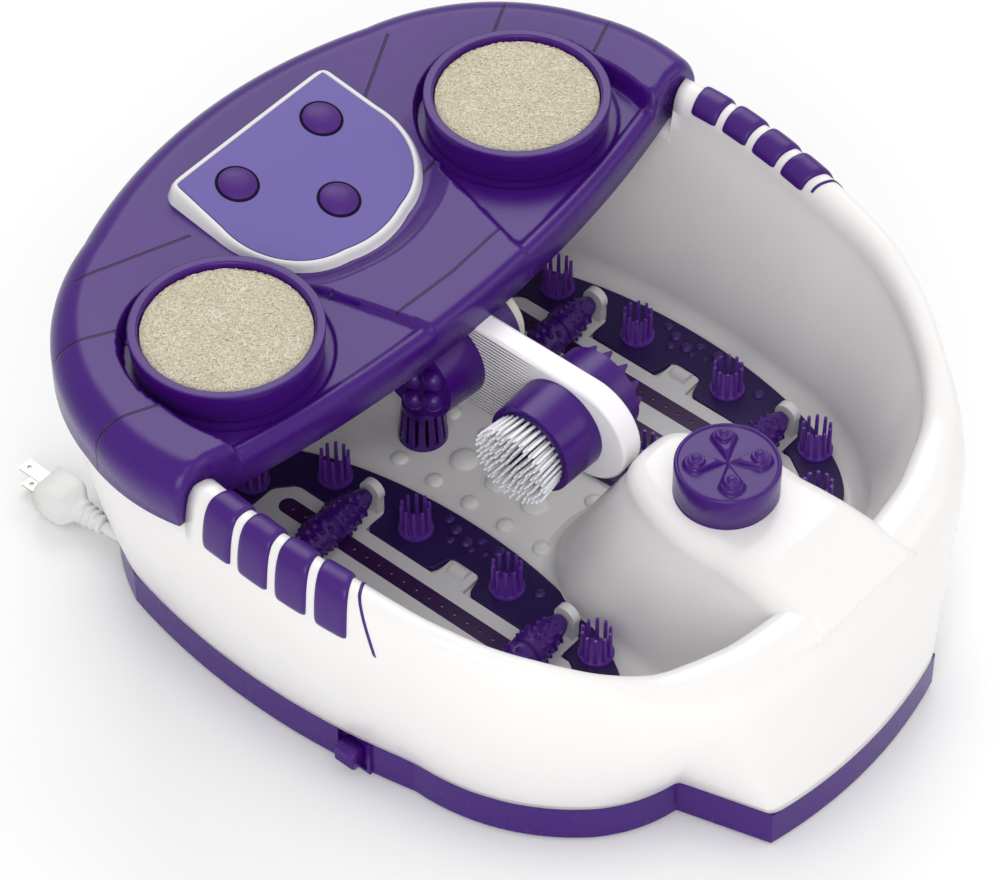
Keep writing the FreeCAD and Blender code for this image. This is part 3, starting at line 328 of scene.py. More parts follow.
# Near black painted shade, for the inside of the intake and the gap round each button.
paintedShadeBlack = plastic("paintedShadeBlack", (0.004, 0.002, 0.008), (0.007, 0.004, 0.012), 0.7, 0.1, specular=0.1)
pumiceStone = plastic("pumiceStone", (0.66, 0.63, 0.54), (0.78, 0.76, 0.68), 0.85, 0.08, 500.0, 0.6,
                      patch=90.0)
loofahTone = plastic("loofahTone", (0.80, 0.74, 0.58), (0.93, 0.90, 0.80), 0.72, 0.1, 900.0, 0.3,
                     patch=70.0)
# The loofah core under the fibres is painted darker as shade between the fibres.
loofahPaintedShade = plastic("loofahPaintedShade", (0.46, 0.40, 0.26), (0.62, 0.56, 0.42), 0.85, 0.1, 900.0, 0.5,
                      patch=120.0)
cordWhite = plastic("cordWhite", (0.70, 0.70, 0.69), (0.78, 0.78, 0.77), 0.4, 0.05)
blackRubber = plastic("blackRubber", (0.012, 0.012, 0.013), (0.02, 0.02, 0.02), 0.6)
boardGreen = plastic("boardGreen", (0.01, 0.07, 0.03), (0.015, 0.10, 0.04), 0.4, 0.06)
darkWorks = plastic("darkWorks", (0.02, 0.02, 0.022), (0.03, 0.03, 0.033), 0.5)
steel = metal("steel", (0.62, 0.62, 0.64), 0.28)
castMetal = metal("castMetal", (0.50, 0.50, 0.52), 0.42)
bladeMetal = metal("bladeMetal", (0.66, 0.63, 0.55), 0.25)

nodeFinish = {
    "tub": whiteShell, "attachment_arm": whiteArm, "base_pan": purpleShell, "top_cover": purpleShell,
    "cover_underplate": purpleShell, "side_slider": purplePart, "brush_cap": purplePart,
    "bulb_cap": purplePart, "pumice_cap": purplePart, "point_cap": purplePart, "nub_cap": purplePart,
    "intake_cone": purplePart, "control_bezel": whiteTrim, "control_overlay": panelFilm,
    "control_board": boardGreen, "pumice_stone": pumiceStone, "base_screws": steel,
    "heater_plate": steel, "eccentric_weight": steel, "air_pump": darkWorks,
    "jet_housing": darkWorks, "jet_impeller": darkWorks, "vibration_motor": castMetal,
    "jet_motor": castMetal,
    "strain_relief": cordWhite, "plug_body": cordWhite, "plug_blades": bladeMetal,
    "rubber_feet": blackRubber, "brush_bristles": bristleWhite,
}
for side in ("left", "right"):
    nodeFinish |= {f"grips_{side}": purpleGrip, f"rim_stripe_{side}": purpleGrip,
                   f"foot_mat_{side}": purpleSoft, f"pin_crowns_{side}": purplePin,
                   f"bubble_strips_{side}": darkStrip, f"roller_frame_{side}": whiteTrim,
                   f"loofah_cup_{side}": purplePart, f"loofah_pad_{side}": loofahTone}
    for end in ("rear", "front"):
        nodeFinish |= {f"roller_{side}_{end}": purplePart, f"axle_{side}_{end}": steel}
for name in ("vibration_button", "bubble_button", "jet_button"):
    nodeFinish[name] = buttonPurple
for name, item in nodes.items():
    item.data.materials.clear()
    item.data.materials.append(nodeFinish.get(name, whiteTrim))
print("materials on", len(nodes), "carried-over nodes")


# mains cord

# The route is the gland's run into the store, a flat spiral of two layers, and the run to the
# plug: radius falls by one pitch a turn to the middle of the coil and grows again above it.
lead = {"diameter": 0.0065, "centre": (-66.0, 112.0), "outerTurn": 46.3, "pitch": 6.5, "turns": 6.25,
        "perTurn": 16}


def cordRoute(look):
    exitRun = [(-20, 65.7, 7.0), (-32, 65.7, 6.6), (-44, 65.6, 5.4), (-55, 65.6, 4.1)]
    plugRun = [(-113.8, 124, 9.3), (-118.6, 135, 8.8), (-124.9, 145, 9.4), (-128, 155, 10.2),
               (-128, 165, 10.2)]
    s = np.linspace(0, look["turns"], int(look["turns"] * look["perTurn"]) + 1)
    middle = look["turns"] / 2
    radius = look["outerTurn"] - look["pitch"] * (middle - np.abs(s - middle))
    turn = -np.pi / 2 - 2 * np.pi * s
    height = 3.5 + 6.5 * np.clip((s - middle) / 0.6 + 0.5, 0, 1)
    coil = np.stack([look["centre"][0] + radius * np.cos(turn),
                     look["centre"][1] + radius * np.sin(turn), height], -1)
    return [tuple(np.array(p) * mm) for p in exitRun + list(coil) + plugRun]


# plug
plugShape = {"x": -128.0, "level": 10.2,
             "stations": [(205.0, 9.6, 9.0), (204.4, 10.5, 9.7), (196.0, 10.9, 9.9),
                          (189.5, 10.6, 9.6), (187.0, 9.6, 8.8), (183.0, 6.6, 6.2),
                          (181.2, 5.9, 5.9), (180.4, 6.3, 6.3), (178.6, 6.3, 6.3),
                          (178.0, 5.0, 5.0), (176.8, 5.0, 5.0), (176.2, 6.0, 6.0),
                          (174.6, 6.0, 6.0), (174.0, 4.7, 4.7), (172.8, 4.7, 4.7),
                          (172.2, 5.6, 5.6), (170.6, 5.6, 5.6), (170.0, 4.4, 4.4),
                          (168.8, 4.4, 4.4), (168.2, 5.1, 5.1), (166.4, 5.0, 5.0),
                          (165.2, 4.2, 4.2)]}


# Superellipse sections, squarer on the body than on the ribbed tail, carried along +Y.
def buildPlug():
    stations = np.array(plugShape["stations"])
    turn = np.linspace(0, 2 * np.pi, 56, endpoint=False)
    power = np.interp(stations[:, 0], [181, 184], [1.0, 0.32])[:, None]
    c, v = np.cos(turn)[None, :], np.sin(turn)[None, :]
    x = plugShape["x"] + stations[:, 1:2] * np.sign(c) * np.abs(c) ** power
    z = plugShape["level"] + stations[:, 2:3] * np.sign(v) * np.abs(v) ** power
    rings = np.stack([x, np.broadcast_to(stations[:, :1], x.shape), z], -1)
    return finished(closedGrid("plugShell", rings * mm), cordWhite, "basin", "plug_body",
                    slot="white_cord")


def buildCord(look):
    points = cordRoute(look)
    curve = bpy.data.curves.new("mainsCord", "CURVE")
    curve.dimensions = "3D"
    curve.bevel_depth = look["diameter"] / 2
    curve.bevel_resolution = 4
    curve.resolution_u = 4
    curve.use_fill_caps = True
    spline = curve.splines.new("NURBS")
    spline.points.add(len(points) - 1)
    for point, place in zip(spline.points, points):
        point.co = (*place, 1)
    spline.order_u = 3
    spline.use_endpoint_u = True
    piece = linked(bpy.data.objects.new("mainsCord", curve))
    curve.materials.append(cordWhite)
    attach(piece, "basin")
    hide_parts("cord_tube", "cord_lead", "cord_coil")
    length = sum(math.dist(a, b) for a, b in zip(points, points[1:]))
    print("cord route", round(length, 3), "m")
    buildPlug()


buildCord(lead)


# outlines

# Points on the circle through three points, from the first up to but without the last.
def arcPoints(a, middle, b, count):
    (ax, ay), (mx, my), (bx, by) = a, middle, b
    d = 2 * (ax * (my - by) + mx * (by - ay) + bx * (ay - my))
    share = np.arange(count) / count
    if abs(d) < 1e-6:
        return np.outer(1 - share, a) + np.outer(share, b)
    a2, m2, b2 = ax * ax + ay * ay, mx * mx + my * my, bx * bx + by * by
    centre = np.array([(a2 * (my - by) + m2 * (by - ay) + b2 * (ay - my)) / d,
                       (a2 * (bx - mx) + m2 * (ax - bx) + b2 * (mx - ax)) / d])
    start, through, end = (math.atan2(p[1] - centre[1], p[0] - centre[0]) for p in (a, middle, b))
    sweep = (end - start) % (2 * math.pi)
    if (through - start) % (2 * math.pi) > sweep:
        sweep -= 2 * math.pi
    radius = math.hypot(ax - centre[0], ay - centre[1])
    turn = start + sweep * share
    return centre + radius * np.stack([np.cos(turn), np.sin(turn)], -1)


# The loop of an outline that is the same on both sides, clockwise from the rear left.
def loopOf(steps, count, soft=0):
    def flip(point):
        return -point[0], point[1]

    here = steps["start"]
    right = [arcPoints(flip(here), (0, steps["rear"]), here, count)]
    left = []
    for step in steps["side"]:
        if isinstance(step[0], tuple):
            middle, end = step
        else:
            middle, end = tuple((np.array(here) + np.array(step)) / 2), step
        right.append(arcPoints(here, middle, end, count))
        left.append(arcPoints(flip(end), flip(middle), flip(here), count))
        here = end
    right.append(arcPoints(here, (0, steps["front"]), flip(here), count))
    loop = np.vstack(right + left[::-1])
    for _ in range(soft):
        loop = (np.roll(loop, 1, 0) + 2 * loop + np.roll(loop, -1, 0)) / 4
    return loop


# Outward normals of a clockwise loop, from its neighbours, and the loop moved along them.
def outward(loop):
    along = np.roll(loop, -1, 0) - np.roll(loop, 1, 0)
    along /= np.maximum(np.linalg.norm(along, axis=1, keepdims=True), 1e-9)
    return np.stack([-along[:, 1], along[:, 0]], -1)


def moved(loop, distance):
    return loop + outward(loop) * distance


baseOutline = {"rear": 206, "start": (75, 192), "front": -212,
               "side": [((118, 166), (148, 125)), ((158.5, 50), (148, -57)),
                        ((133, -114), (114, -139)), ((97, -151), (77, -158)), (63.5, -204)]}
bulgeOutline = {"rear": 206, "start": (85, 196), "front": -209,
                "side": [((140, 166), (172, 118)), ((185, 40), (177, -66)),
                         ((161, -114), (136, -149)), ((121, -169), (104, -184)), (80, -198)]}
mouthOutline = {"rear": 168, "start": (80, 158), "front": -178,
                "side": [((127, 140), (153, 104)), ((165, 40), (160, -54)),
                         ((150, -99), (132, -130)), ((116, -148), (96, -161)), (62, -173)]}
floorOutline = {"rear": 150, "start": (75, 143), "front": -150,
                "side": [((117, 127), (139, 96)), ((148, 30), (143, -50)), ((133, -94), (113, -124)),
                         ((101, -134), (87, -140)), (55, -147)]}
islandFoot = {"rear": -32, "start": (14, -34), "front": -201,
              "side": [((34, -50), (43, -90)), (49, -198)]}
islandCrown = {"rear": -83, "start": (10, -84), "front": -206,
               "side": [((17, -97), (22, -140)), (28, -203)]}
coverOutline = {"rear": 212, "start": (100, 192), "front": 26,
                "side": [((156, 158), (184, 108)), ((190, 78), (187, 47)), (166, 47)]}
shieldOutline = {"rear": 174, "start": (52, 173.9), "front": 92.5,
                 "side": [(54, 143), ((47, 112), (20, 96))]}

rim = {"rearLevel": 147.0, "step": 45.3, "outerDrop": 36.0, "innerDrop": 15.0, "bottom": 23.4,
       "floor": 42.0, "floorRound": 12.0,
       "heights": [(45.3, 169.5), (10, 168), (-45, 162), (-68, 158.5), (-94, 154.5), (-113, 150),
                   (-129, 146), (-144, 141), (-158, 136), (-170, 131), (-180, 128.5), (-215, 126)]}


# The handles' crest level from front to rear, and the rim's, which drops behind the step.
def crestLevel(y):
    table = np.array(rim["heights"])[::-1]
    return np.interp(y, table[:, 0], table[:, 1])


def rimHeight(y):
    return np.where(y > rim["step"], rim["rearLevel"], crestLevel(y))


# tub

# Where each column of the rim stands from front to rear, between the outside and the mouth.
def alongRim(columns):
    return columns["bulge"][:, 1] * 0.55 + columns["mouth"][:, 1] * 0.45


# The tub's four plan outlines, column by column, with two close columns at each end of the step
# down behind the handles.
def tubColumns(count=26):
    loops = {"base": loopOf(baseOutline, count, 2), "bulge": loopOf(bulgeOutline, count, 14),
             "mouth": loopOf(mouthOutline, count, 14), "floor": loopOf(floorOutline, count, 10)}
    y = alongRim(loops)
    ring = len(y)
    index = np.arange(ring, dtype=float)
    extra = []
    for i in range(ring):
        a, b = y[i], y[(i + 1) % ring]
        if (a - rim["step"]) * (b - rim["step"]) < 0:
            cut = i + (rim["step"] - a) / (b - a)
            extra += [cut - 0.02, cut + 0.02]
    index = np.sort(np.concatenate([index, extra]))
    low = np.floor(index).astype(int) % ring
    share = (index - np.floor(index))[:, None]
    return {name: loop[low] * (1 - share) + loop[(low + 1) % ring] * share
            for name, loop in loops.items()}


# Where the crest stands between the mouth (0) and the outside (1): nearer the mouth in front.
def crestShare(y):
    return np.interp(y, [-205, -185, -140, 0], [0.36, 0.38, 0.46, 0.55])


# The level at which the rim's outside and mouth sides end, the same curve on both sides of the
# step, so that the walls below run through without a crease.
def rimEnds(y):
    depth = np.interp(y, [-200, -150, -60], [0.7, 0.9, 1.0])
    return crestLevel(y) - rim["outerDrop"] * depth, crestLevel(y) - rim["innerDrop"] * depth


# The tub's inner wall in plan at a level: straight from the mouth down to the floor's outline.
def wallPlan(columns, level, y):
    top = rimEnds(y)[1]
    share = np.clip((top - level) / (top - rim["floor"] - rim["floorRound"]), 0, 1)[:, None]
    return columns["mouth"] * (1 - share) + columns["floor"] * share


# One ring of the rim. The angle runs from the outside (0) over the crest (half pi) to the mouth
# (pi); each quarter is a superellipse between the crest and that side.
def rimRing(columns, angle):
    y = alongRim(columns)
    height = rimHeight(y)
    outerEnd, mouthEnd = rimEnds(y)
    mouthEnd = np.minimum(mouthEnd, height - 9)
    crest = columns["mouth"] + (columns["bulge"] - columns["mouth"]) * crestShare(y)[:, None]
    outside = angle <= np.pi / 2
    side = columns["bulge"] if outside else wallPlan(columns, mouthEnd, y)
    reach, rise = abs(math.cos(angle)) ** 0.8, abs(math.sin(angle)) ** 0.8
    end = outerEnd if outside else mouthEnd
    return atLevel(crest + (side - crest) * reach, height - (height - end) * (1 - rise))


# Outer wall from the base up, rim over the crest, inner wall down, round into the floor, floor.
def buildTub():
    columns = tubColumns()
    low, floor, turn = rim["bottom"], rim["floor"], rim["floorRound"]
    y = alongRim(columns)
    foot = rimRing(columns, 0.0)
    rings = [atLevel(moved(columns["base"], -4), low)]
    for share in np.linspace(0, 1, 18)[:-1]:
        push = 1 - (1 - share) ** 1.55  # the wall swells out most near the base
        plan = columns["base"] * (1 - push) + foot[:, :2] * push
        rings.append(atLevel(plan, low + (foot[:, 2] - low) * share))
    rings += [rimRing(columns, angle) for angle in np.linspace(0, np.pi, 33)]
    lip = rings[-1][:, 2]
    for share in np.linspace(0, 1, 14)[1:]:
        level = lip * (1 - share) + (floor + turn) * share
        rings.append(atLevel(wallPlan(columns, level, y), level))
    for angle in np.linspace(0, np.pi / 2, 9)[1:]:
        plan = moved(columns["floor"], -turn * (1 - math.cos(angle)))
        rings.append(atLevel(plan, floor + turn * (1 - math.sin(angle))))
    edge = rings[-1]
    for share in (0.25, 0.5, 0.75):
        rings.append(edge * (1 - share) + np.array([0, -5, floor]) * share)
    piece = closedGrid("tubShell", np.array(rings) * mm)
    finished(piece, whiteShell, "basin", "tub", slot="white_shell")
    print("tub shell", len(piece.data.polygons), "faces")


island = {"fillet": 7.0, "shoulder": 12.0, "round": 13.0, "foremost": -203.0,
          "stations": [-203, -196, -189, -178, -165, -150],
          "levels": [124.4, 127.4, 129.3, 131.8, 134.2, 135.2]}


# The island: rings between its foot and its crown, filleted into the floor, with a big round at
# the top whose level falls away to the front, where it sinks into the apron.
def buildIsland():
    look, floor = island, rim["floor"]
    fillet, drop = look["fillet"], look["round"]
    foot, crown = loopOf(islandFoot, 40, 8), loopOf(islandCrown, 40, 8)
    top = np.interp(crown[:, 1], look["stations"], look["levels"])
    shoulder = moved(crown, look["shoulder"])
    rings = [atLevel(moved(foot, fillet + 1), floor - 0.3)]
    for angle in np.linspace(0, np.pi / 2, 7):
        plan = moved(foot, fillet * (1 - math.sin(angle)))
        rings.append(atLevel(plan, floor + fillet * (1 - math.cos(angle))))
    for share in np.linspace(0, 1, 16)[1:]:
        plan = foot * (1 - share) + shoulder * share
        rings.append(atLevel(plan, (floor + fillet) * (1 - share) + (top - drop) * share))
    for angle in np.linspace(0, np.pi / 2, 12)[1:]:
        plan = crown + (shoulder - crown) * math.cos(angle)
        rings.append(atLevel(plan, top - drop * (1 - math.sin(angle))))
    last = rings[-1]
    reach = np.clip(last[:, 1], look["foremost"], -100)
    spine = np.column_stack([np.zeros(len(last)), reach,
                             np.interp(reach, look["stations"], look["levels"])])
    for share in np.linspace(0, 1, 8)[1:]:
        swell = np.array([0, 0, 0.8 * math.sin(share * 1.57)])
        rings.append(last * (1 - share) + spine * share + swell)
    rows, columns = len(rings), len(foot)
    points = np.array(rings).reshape(-1, 3)
    points[:, 1] = np.maximum(points[:, 1], look["foremost"])
    points = points * mm
    points = np.vstack([points, points[:columns].mean(0)])
    faces = gridFaces(rows, columns) + fan(0, columns, rows * columns)
    finished(cleaned(newPiece("islandBlock", points, faces)), whiteShell, "basin", "tub",
             slot="white_shell")


# Low domes: each is a quarter of an ellipse turned about its own middle, closed below the level.
def domes(name, spots, material, level, slot):
    parts, columns, sunk = [], 28, level - 0.3
    share = np.linspace(0, 1, 9) * np.pi / 2
    for x, y, radius, height in spots:
        profile = np.column_stack([radius * np.sin(share), height * np.cos(share)])
        profile[0, 0] = 0.001
        rings = turnedRings(profile, columns) + np.array([x, y, level])
        rings[-1, :, 2] = sunk
        hub = len(rings) * columns
        faces = gridFaces(len(rings), columns) + fan(hub - columns, columns, hub)
        parts.append((np.vstack([rings.reshape(-1, 3), [(x, y, sunk)]]) * mm, faces))
    return finished(cleaned(joined(name, parts)), material, "basin", slot=slot)


# x, y, radius and height: pairs of small ones with a row of larger ones between them
floorSpots = [(x, 64 - 22.8 * row, 4.6, 2.3) for row in range(5) for x in (-20, 20)]
floorSpots += [(0, 64 - 22.8 * (row + 1.1), 7.4, 2.9) for row in range(3)]

buildTub()
buildIsland()
domes("floorDomes", floorSpots, whiteShell, rim["floor"], "white_shell")


# grips over the handles

grip = {"first": 26.0, "pitch": 20.4, "length": 16.4, "proud": 2.0, "columns": 26, "rows": 56,
        "ends": (0.17, 2.75), "lean": 0.0}
stripe = {"first": -48.5, "length": 2.0, "proud": 0.7, "columns": 6, "rows": 60, "ends": (0.14, 2.5),
          "lean": 10.0}


# Each grip follows the rim's own section at its columns, pushed out along the section's normal by
# a height that falls to nothing at the edge of a superellipse; lean slides it along the rim as
# it goes down the outside.
def gripPatch(look, columns, middle, side):
    y, half = alongRim(columns), look["length"] / 2
    handle = np.where((columns["bulge"][:, 0] > 100) & (np.abs(y) < 110) & (y < 45))[0]
    handle = handle[np.argsort(y[handle])]
    section = []
    for angle in np.linspace(*look["ends"], look["rows"]):
        shift = look["lean"] * max(0.0, 1 - angle / 1.5) ** 1.7
        wanted = np.linspace(middle - half, middle + half, look["columns"]) - shift
        local = {name: np.column_stack([np.interp(wanted, y[handle], loop[handle, k])
                                        for k in (0, 1)]) for name, loop in columns.items()}
        section.append(rimRing(local, angle))
    section = np.array(section)
    rows, across = section.shape[:2]
    normal = np.cross(np.gradient(section, axis=1), np.gradient(section, axis=0))
    normal /= np.maximum(np.linalg.norm(normal, axis=-1, keepdims=True), 1e-9)
    normal *= np.sign(normal[rows // 2, across // 2, 2])
    u = np.abs(np.linspace(-1, 1, across))[None, :]
    v = np.abs(np.linspace(-1, 1, rows))[:, None]
    height = np.clip(1 - u ** 7 - v ** 26, -0.6, 1)
    rise = look["proud"] * np.sign(height) * np.abs(height) ** 0.42 - 0.25
    top, under = section + normal * rise[..., None], section - normal * 1.6
    count = rows * across
    faces = gridFaces(rows, across, around=False)
    faces += gridFaces(rows, across, around=False, start=count, turned=True)
    edge = list(range(across)) + [r * across + across - 1 for r in range(1, rows)]
    edge += [(rows - 1) * across + c for c in range(across - 2, -1, -1)]
    edge += [r * across for r in range(rows - 2, 0, -1)]
    faces += [(a, b, b + count, a + count) for a, b in zip(edge, edge[1:] + edge[:1])]
    points = np.vstack([top.reshape(-1, 3), under.reshape(-1, 3)])
    return points * [side, 1, 1] * mm, faces


def buildGrips():
    columns = tubColumns()
    for side, name in ((-1, "left"), (1, "right")):
        pads = [gripPatch(grip, columns, grip["first"] - grip["pitch"] * n, side) for n in range(4)]
        pads = cleaned(joined("grips_" + name + "_pads", pads))
        finished(pads, purpleGrip, "basin", "grips_" + name, slot="purple_soft")
        line = cleaned(joined("stripe_" + name, [gripPatch(stripe, columns, stripe["first"], side)]))
        finished(line, purpleGrip, "basin", "rim_stripe_" + name, slot="purple_soft")


buildGrips()


# top cover

cup = {"x": 104.1, "y": 93.2, "top": 183.0, "bottom": 164.6, "outer": 46.0, "inner": 41.0}
cover = {"bottom": 148.0, "crest": 178.0, "slope": 0.115, "outerRound": 15.0, "frontRound": 5.5,
         "sidePlate": 166.0, "centrePlate": 169.5, "seatRadius": 50.0, "seatDepth": 1.2,
         "middleY": [26, 33, 47, 92, 103], "middleHalf": [34.0, 34.5, 38, 50, 54],
         "lipRise": 1.7, "wellDrop": 3.6, "wellDepth": 9.0, "centre": (0.0, 92.0), "columns": 680,
         "borderRings": 46, "lines": [((99, 173), (56, 152)), ((-125, 171), (-66, 153)),
                                      ((-163, 147), (-131, 133)), ((-187, 98), (-157, 88)),
                                      ((163, 147), (131, 133)), ((187, 98), (157, 88)),
                                      ((-54.5, 103), (-44, 103)), ((44, 103), (54.5, 103)),
                                      ((-37.5, 47.5), (0, 45.5)), ((0, 45.5), (37.5, 47.5))]}
panel = {"tilt": 12.74, "rearY": 174.0, "rearLevel": 185.1}


def panelLevel(y):
    return panel["rearLevel"] - math.tan(math.radians(panel["tilt"])) * (panel["rearY"] - y)


# Runs smoothly from 0 at low to 1 at high.
def smoothStep(low, high, x):
    share = np.clip((x - low) / (high - low), 0, 1)
    return share * share * (3 - 2 * share)


# Passes from one height to another as share goes from 0 to 1.
def mixed(first, second, share):
    return first * (1 - share) + second * share


# Distance of each plan point to an open polyline given as points.
def distanceTo(points, line):
    best = np.full(len(points), 1e9)
    for a, b in zip(line[:-1], line[1:]):
        way = b - a
        size = max(way @ way, 1e-9)
        share = np.clip(((points - a) @ way) / size, 0, 1)
        gap = points - a - share[:, None] * way
        best = np.minimum(best, np.hypot(gap[:, 0], gap[:, 1]))
    return best


# Whether plan points lie inside a loop: crossings of a line towards +X are counted.
def insideLoop(points, loop):
    x, y = points[:, 0], points[:, 1]
    inside = np.zeros(len(points), bool)
    for (ax, ay), (bx, by) in zip(loop, np.roll(loop, -1, 0)):
        if ay != by:
            crosses = ((ay > y) != (by > y)) & (x < (bx - ax) * (y - ay) / (by - ay) + ax)
            inside ^= crosses
    return inside


# How far a quarter-round edge lies below the flat at a distance from its outline.
def roundDrop(distance, radius):
    inside = np.clip(radius - distance, 0, radius)
    return radius - np.sqrt(np.maximum(radius ** 2 - inside ** 2, 0))


# The cover's height over a plan point: a crest round the sides and rear that falls gently inward,
# two low plates with round seats for the discs, a middle plate between them, a lip along the
# front, a well under the panel, and rounds at the edges. signed is the distance to the bezel.
def coverHeight(plan, outerLine, frontLine, signed):
    look = cover
    x, y = np.abs(plan[:, 0]), plan[:, 1]
    outer, front = distanceTo(plan, outerLine), distanceTo(plan, frontLine)
    level = look["crest"] - look["slope"] * np.clip(outer - 16, 0, 60)
    middleHalf = np.interp(y, look["middleY"], look["middleHalf"])
    middle = smoothStep(1.6, -1.6, x - middleHalf) * smoothStep(104.2, 102.2, y)
    level = mixed(level, look["centrePlate"], middle)
    inner = smoothStep(34.5, 38.5, outer) * smoothStep(100, 97, y)
    plate = inner * (1 - smoothStep(1.4, -1.4, x - middleHalf))
    level = mixed(level, look["sidePlate"], plate)
    ring = np.hypot(x - cup["x"], y - cup["y"]) - look["seatRadius"]
    level = mixed(level, look["sidePlate"] - look["seatDepth"], smoothStep(0.8, -0.8, ring))
    lip = smoothStep(8.6, 6.4, front) * smoothStep(151, 147, x)
    level = mixed(level, np.maximum(level, look["sidePlate"] + look["lipRise"]), lip)
    well = panelLevel(y) - look["wellDrop"] - look["wellDepth"] * smoothStep(-1.5, -4.0, signed)
    level = mixed(level, np.minimum(level, well), smoothStep(15.0, 0.5, signed))
    level -= roundDrop(front, look["frontRound"]) + roundDrop(outer, look["outerRound"])
    return np.maximum(level, look["bottom"] + 2)


# Rings drawn in from the outline towards the centre, close together at the edge; the first ones
# and the skirt under them are the border, the others the deck.
def buildCover():
    loop, centre = loopOf(coverOutline, 60), np.array(cover["centre"])
    closed = np.vstack([loop, loop[:1]])
    reach = np.concatenate([[0], np.cumsum(np.linalg.norm(np.diff(closed, axis=0), axis=1))])
    stations = np.linspace(0, reach[-1], cover["columns"], endpoint=False)
    edge = np.column_stack([np.interp(stations, reach, closed[:, k]) for k in (0, 1)])
    side, face = loop[30:181], loop[180:271]  # the right half of the outline up to and in the front
    outerLine = np.vstack([side[::-1], side * [-1, 1]])
    frontLine = np.vstack([face, face[::-1] * [-1, 1]])
    bezelLoop = moved(loopOf(shieldOutline, 12, 2), 4.5)
    inset = np.concatenate([[0.0, 0.25, 0.7, 1.4, 2.4, 3.6, 5.0, 6.6, 8.4, 10.4, 12.6, 15.0],
                            np.arange(16.3, 62, 1.3)])
    span = np.linalg.norm(edge - centre, axis=1)
    planRings = [edge + (centre - edge) * np.minimum(step / span, 0.93)[:, None] for step in inset]
    last = planRings[-1]
    planRings += [last + (centre - last) * share for share in np.linspace(0, 1, 96)[1:-1]]
    plan = np.vstack(planRings)
    near = distanceTo(plan, np.vstack([bezelLoop, bezelLoop[:1]]))
    signed = np.where(insideLoop(plan, bezelLoop), -near, near)
    height = coverHeight(plan, outerLine, frontLine, signed)
    top = atLevel(plan, height).reshape(len(planRings), len(edge), 3)
    low, split = cover["bottom"], cover["borderRings"]
    skirt = [atLevel(moved(edge, away), level)
             for away, level in ((-20.0, low), (-3.0, low), (-0.5, low), (0.0, low + 0.6))]
    # The cover's lines are grooves that dip and are painted near black as shade.
    lines = [(np.array(a) * mm, np.array(b) * mm) for a, b in cover["lines"]]
    material = groove(plastic("purpleCover", *shellTones, 0.27, 0.02, 1500.0, specular=0.30,
                              broad=0.012), lines, 0.0011)
    border = np.vstack([np.array(skirt), top[:split]]) * mm
    piece = newPiece("coverBorder", border.reshape(-1, 3), gridFaces(*border.shape[:2]))
    finished(cleaned(piece), material, "basin", "top_cover", slot="purple_shell")
    deck = top[split - 1:] * mm
    rows, columns = deck.shape[:2]
    faces = gridFaces(rows, columns) + fan((rows - 1) * columns, columns, rows * columns)
    piece = newPiece("coverDeck", np.vstack([deck.reshape(-1, 3), deck[-1].mean(0)]), faces)
    finished(cleaned(piece), material, "basin", slot="purple_shell")
    print("cover", len(plan), "points")


buildCover()


# loofah cups and discs

loofah = {"fibres": 7400, "points": 5, "rim": 0.6, "sink": 2.4, "round": 0.9, "bend": (0.5, 1.9),
          "sweep": (0.9, 2.6), "thick": (0.12, 0.24)}

def buildCups():
    low, high, outer, inner = (cup[k] for k in ("bottom", "top", "outer", "inner"))
    for side, name in ((-1, "left"), (1, "right")):
        profile = [(0.001, low), (outer - 2.6, low), (outer - 1.8, low + 0.8),
                   (outer - 1.8, low + 4), (outer - 0.9, low + 4.6), (outer - 0.2, high - 4.4),
                   (outer, high - 3.6),
                   (outer, high - 0.2), (outer - 0.6, high), (inner + 0.9, high),
                   (inner + 0.2, high - 0.8), (inner, high - 6), (0.001, high - 6)]
        rings = turnedRings(rounded(profile, 0.7, 4), 144) + np.array([side * cup["x"], cup["y"], 0])
        piece = closedGrid("cup_" + name, rings * mm)
        finished(piece, purplePart, "loofah_" + name, "loofah_cup_" + name, slot="purple_shell")
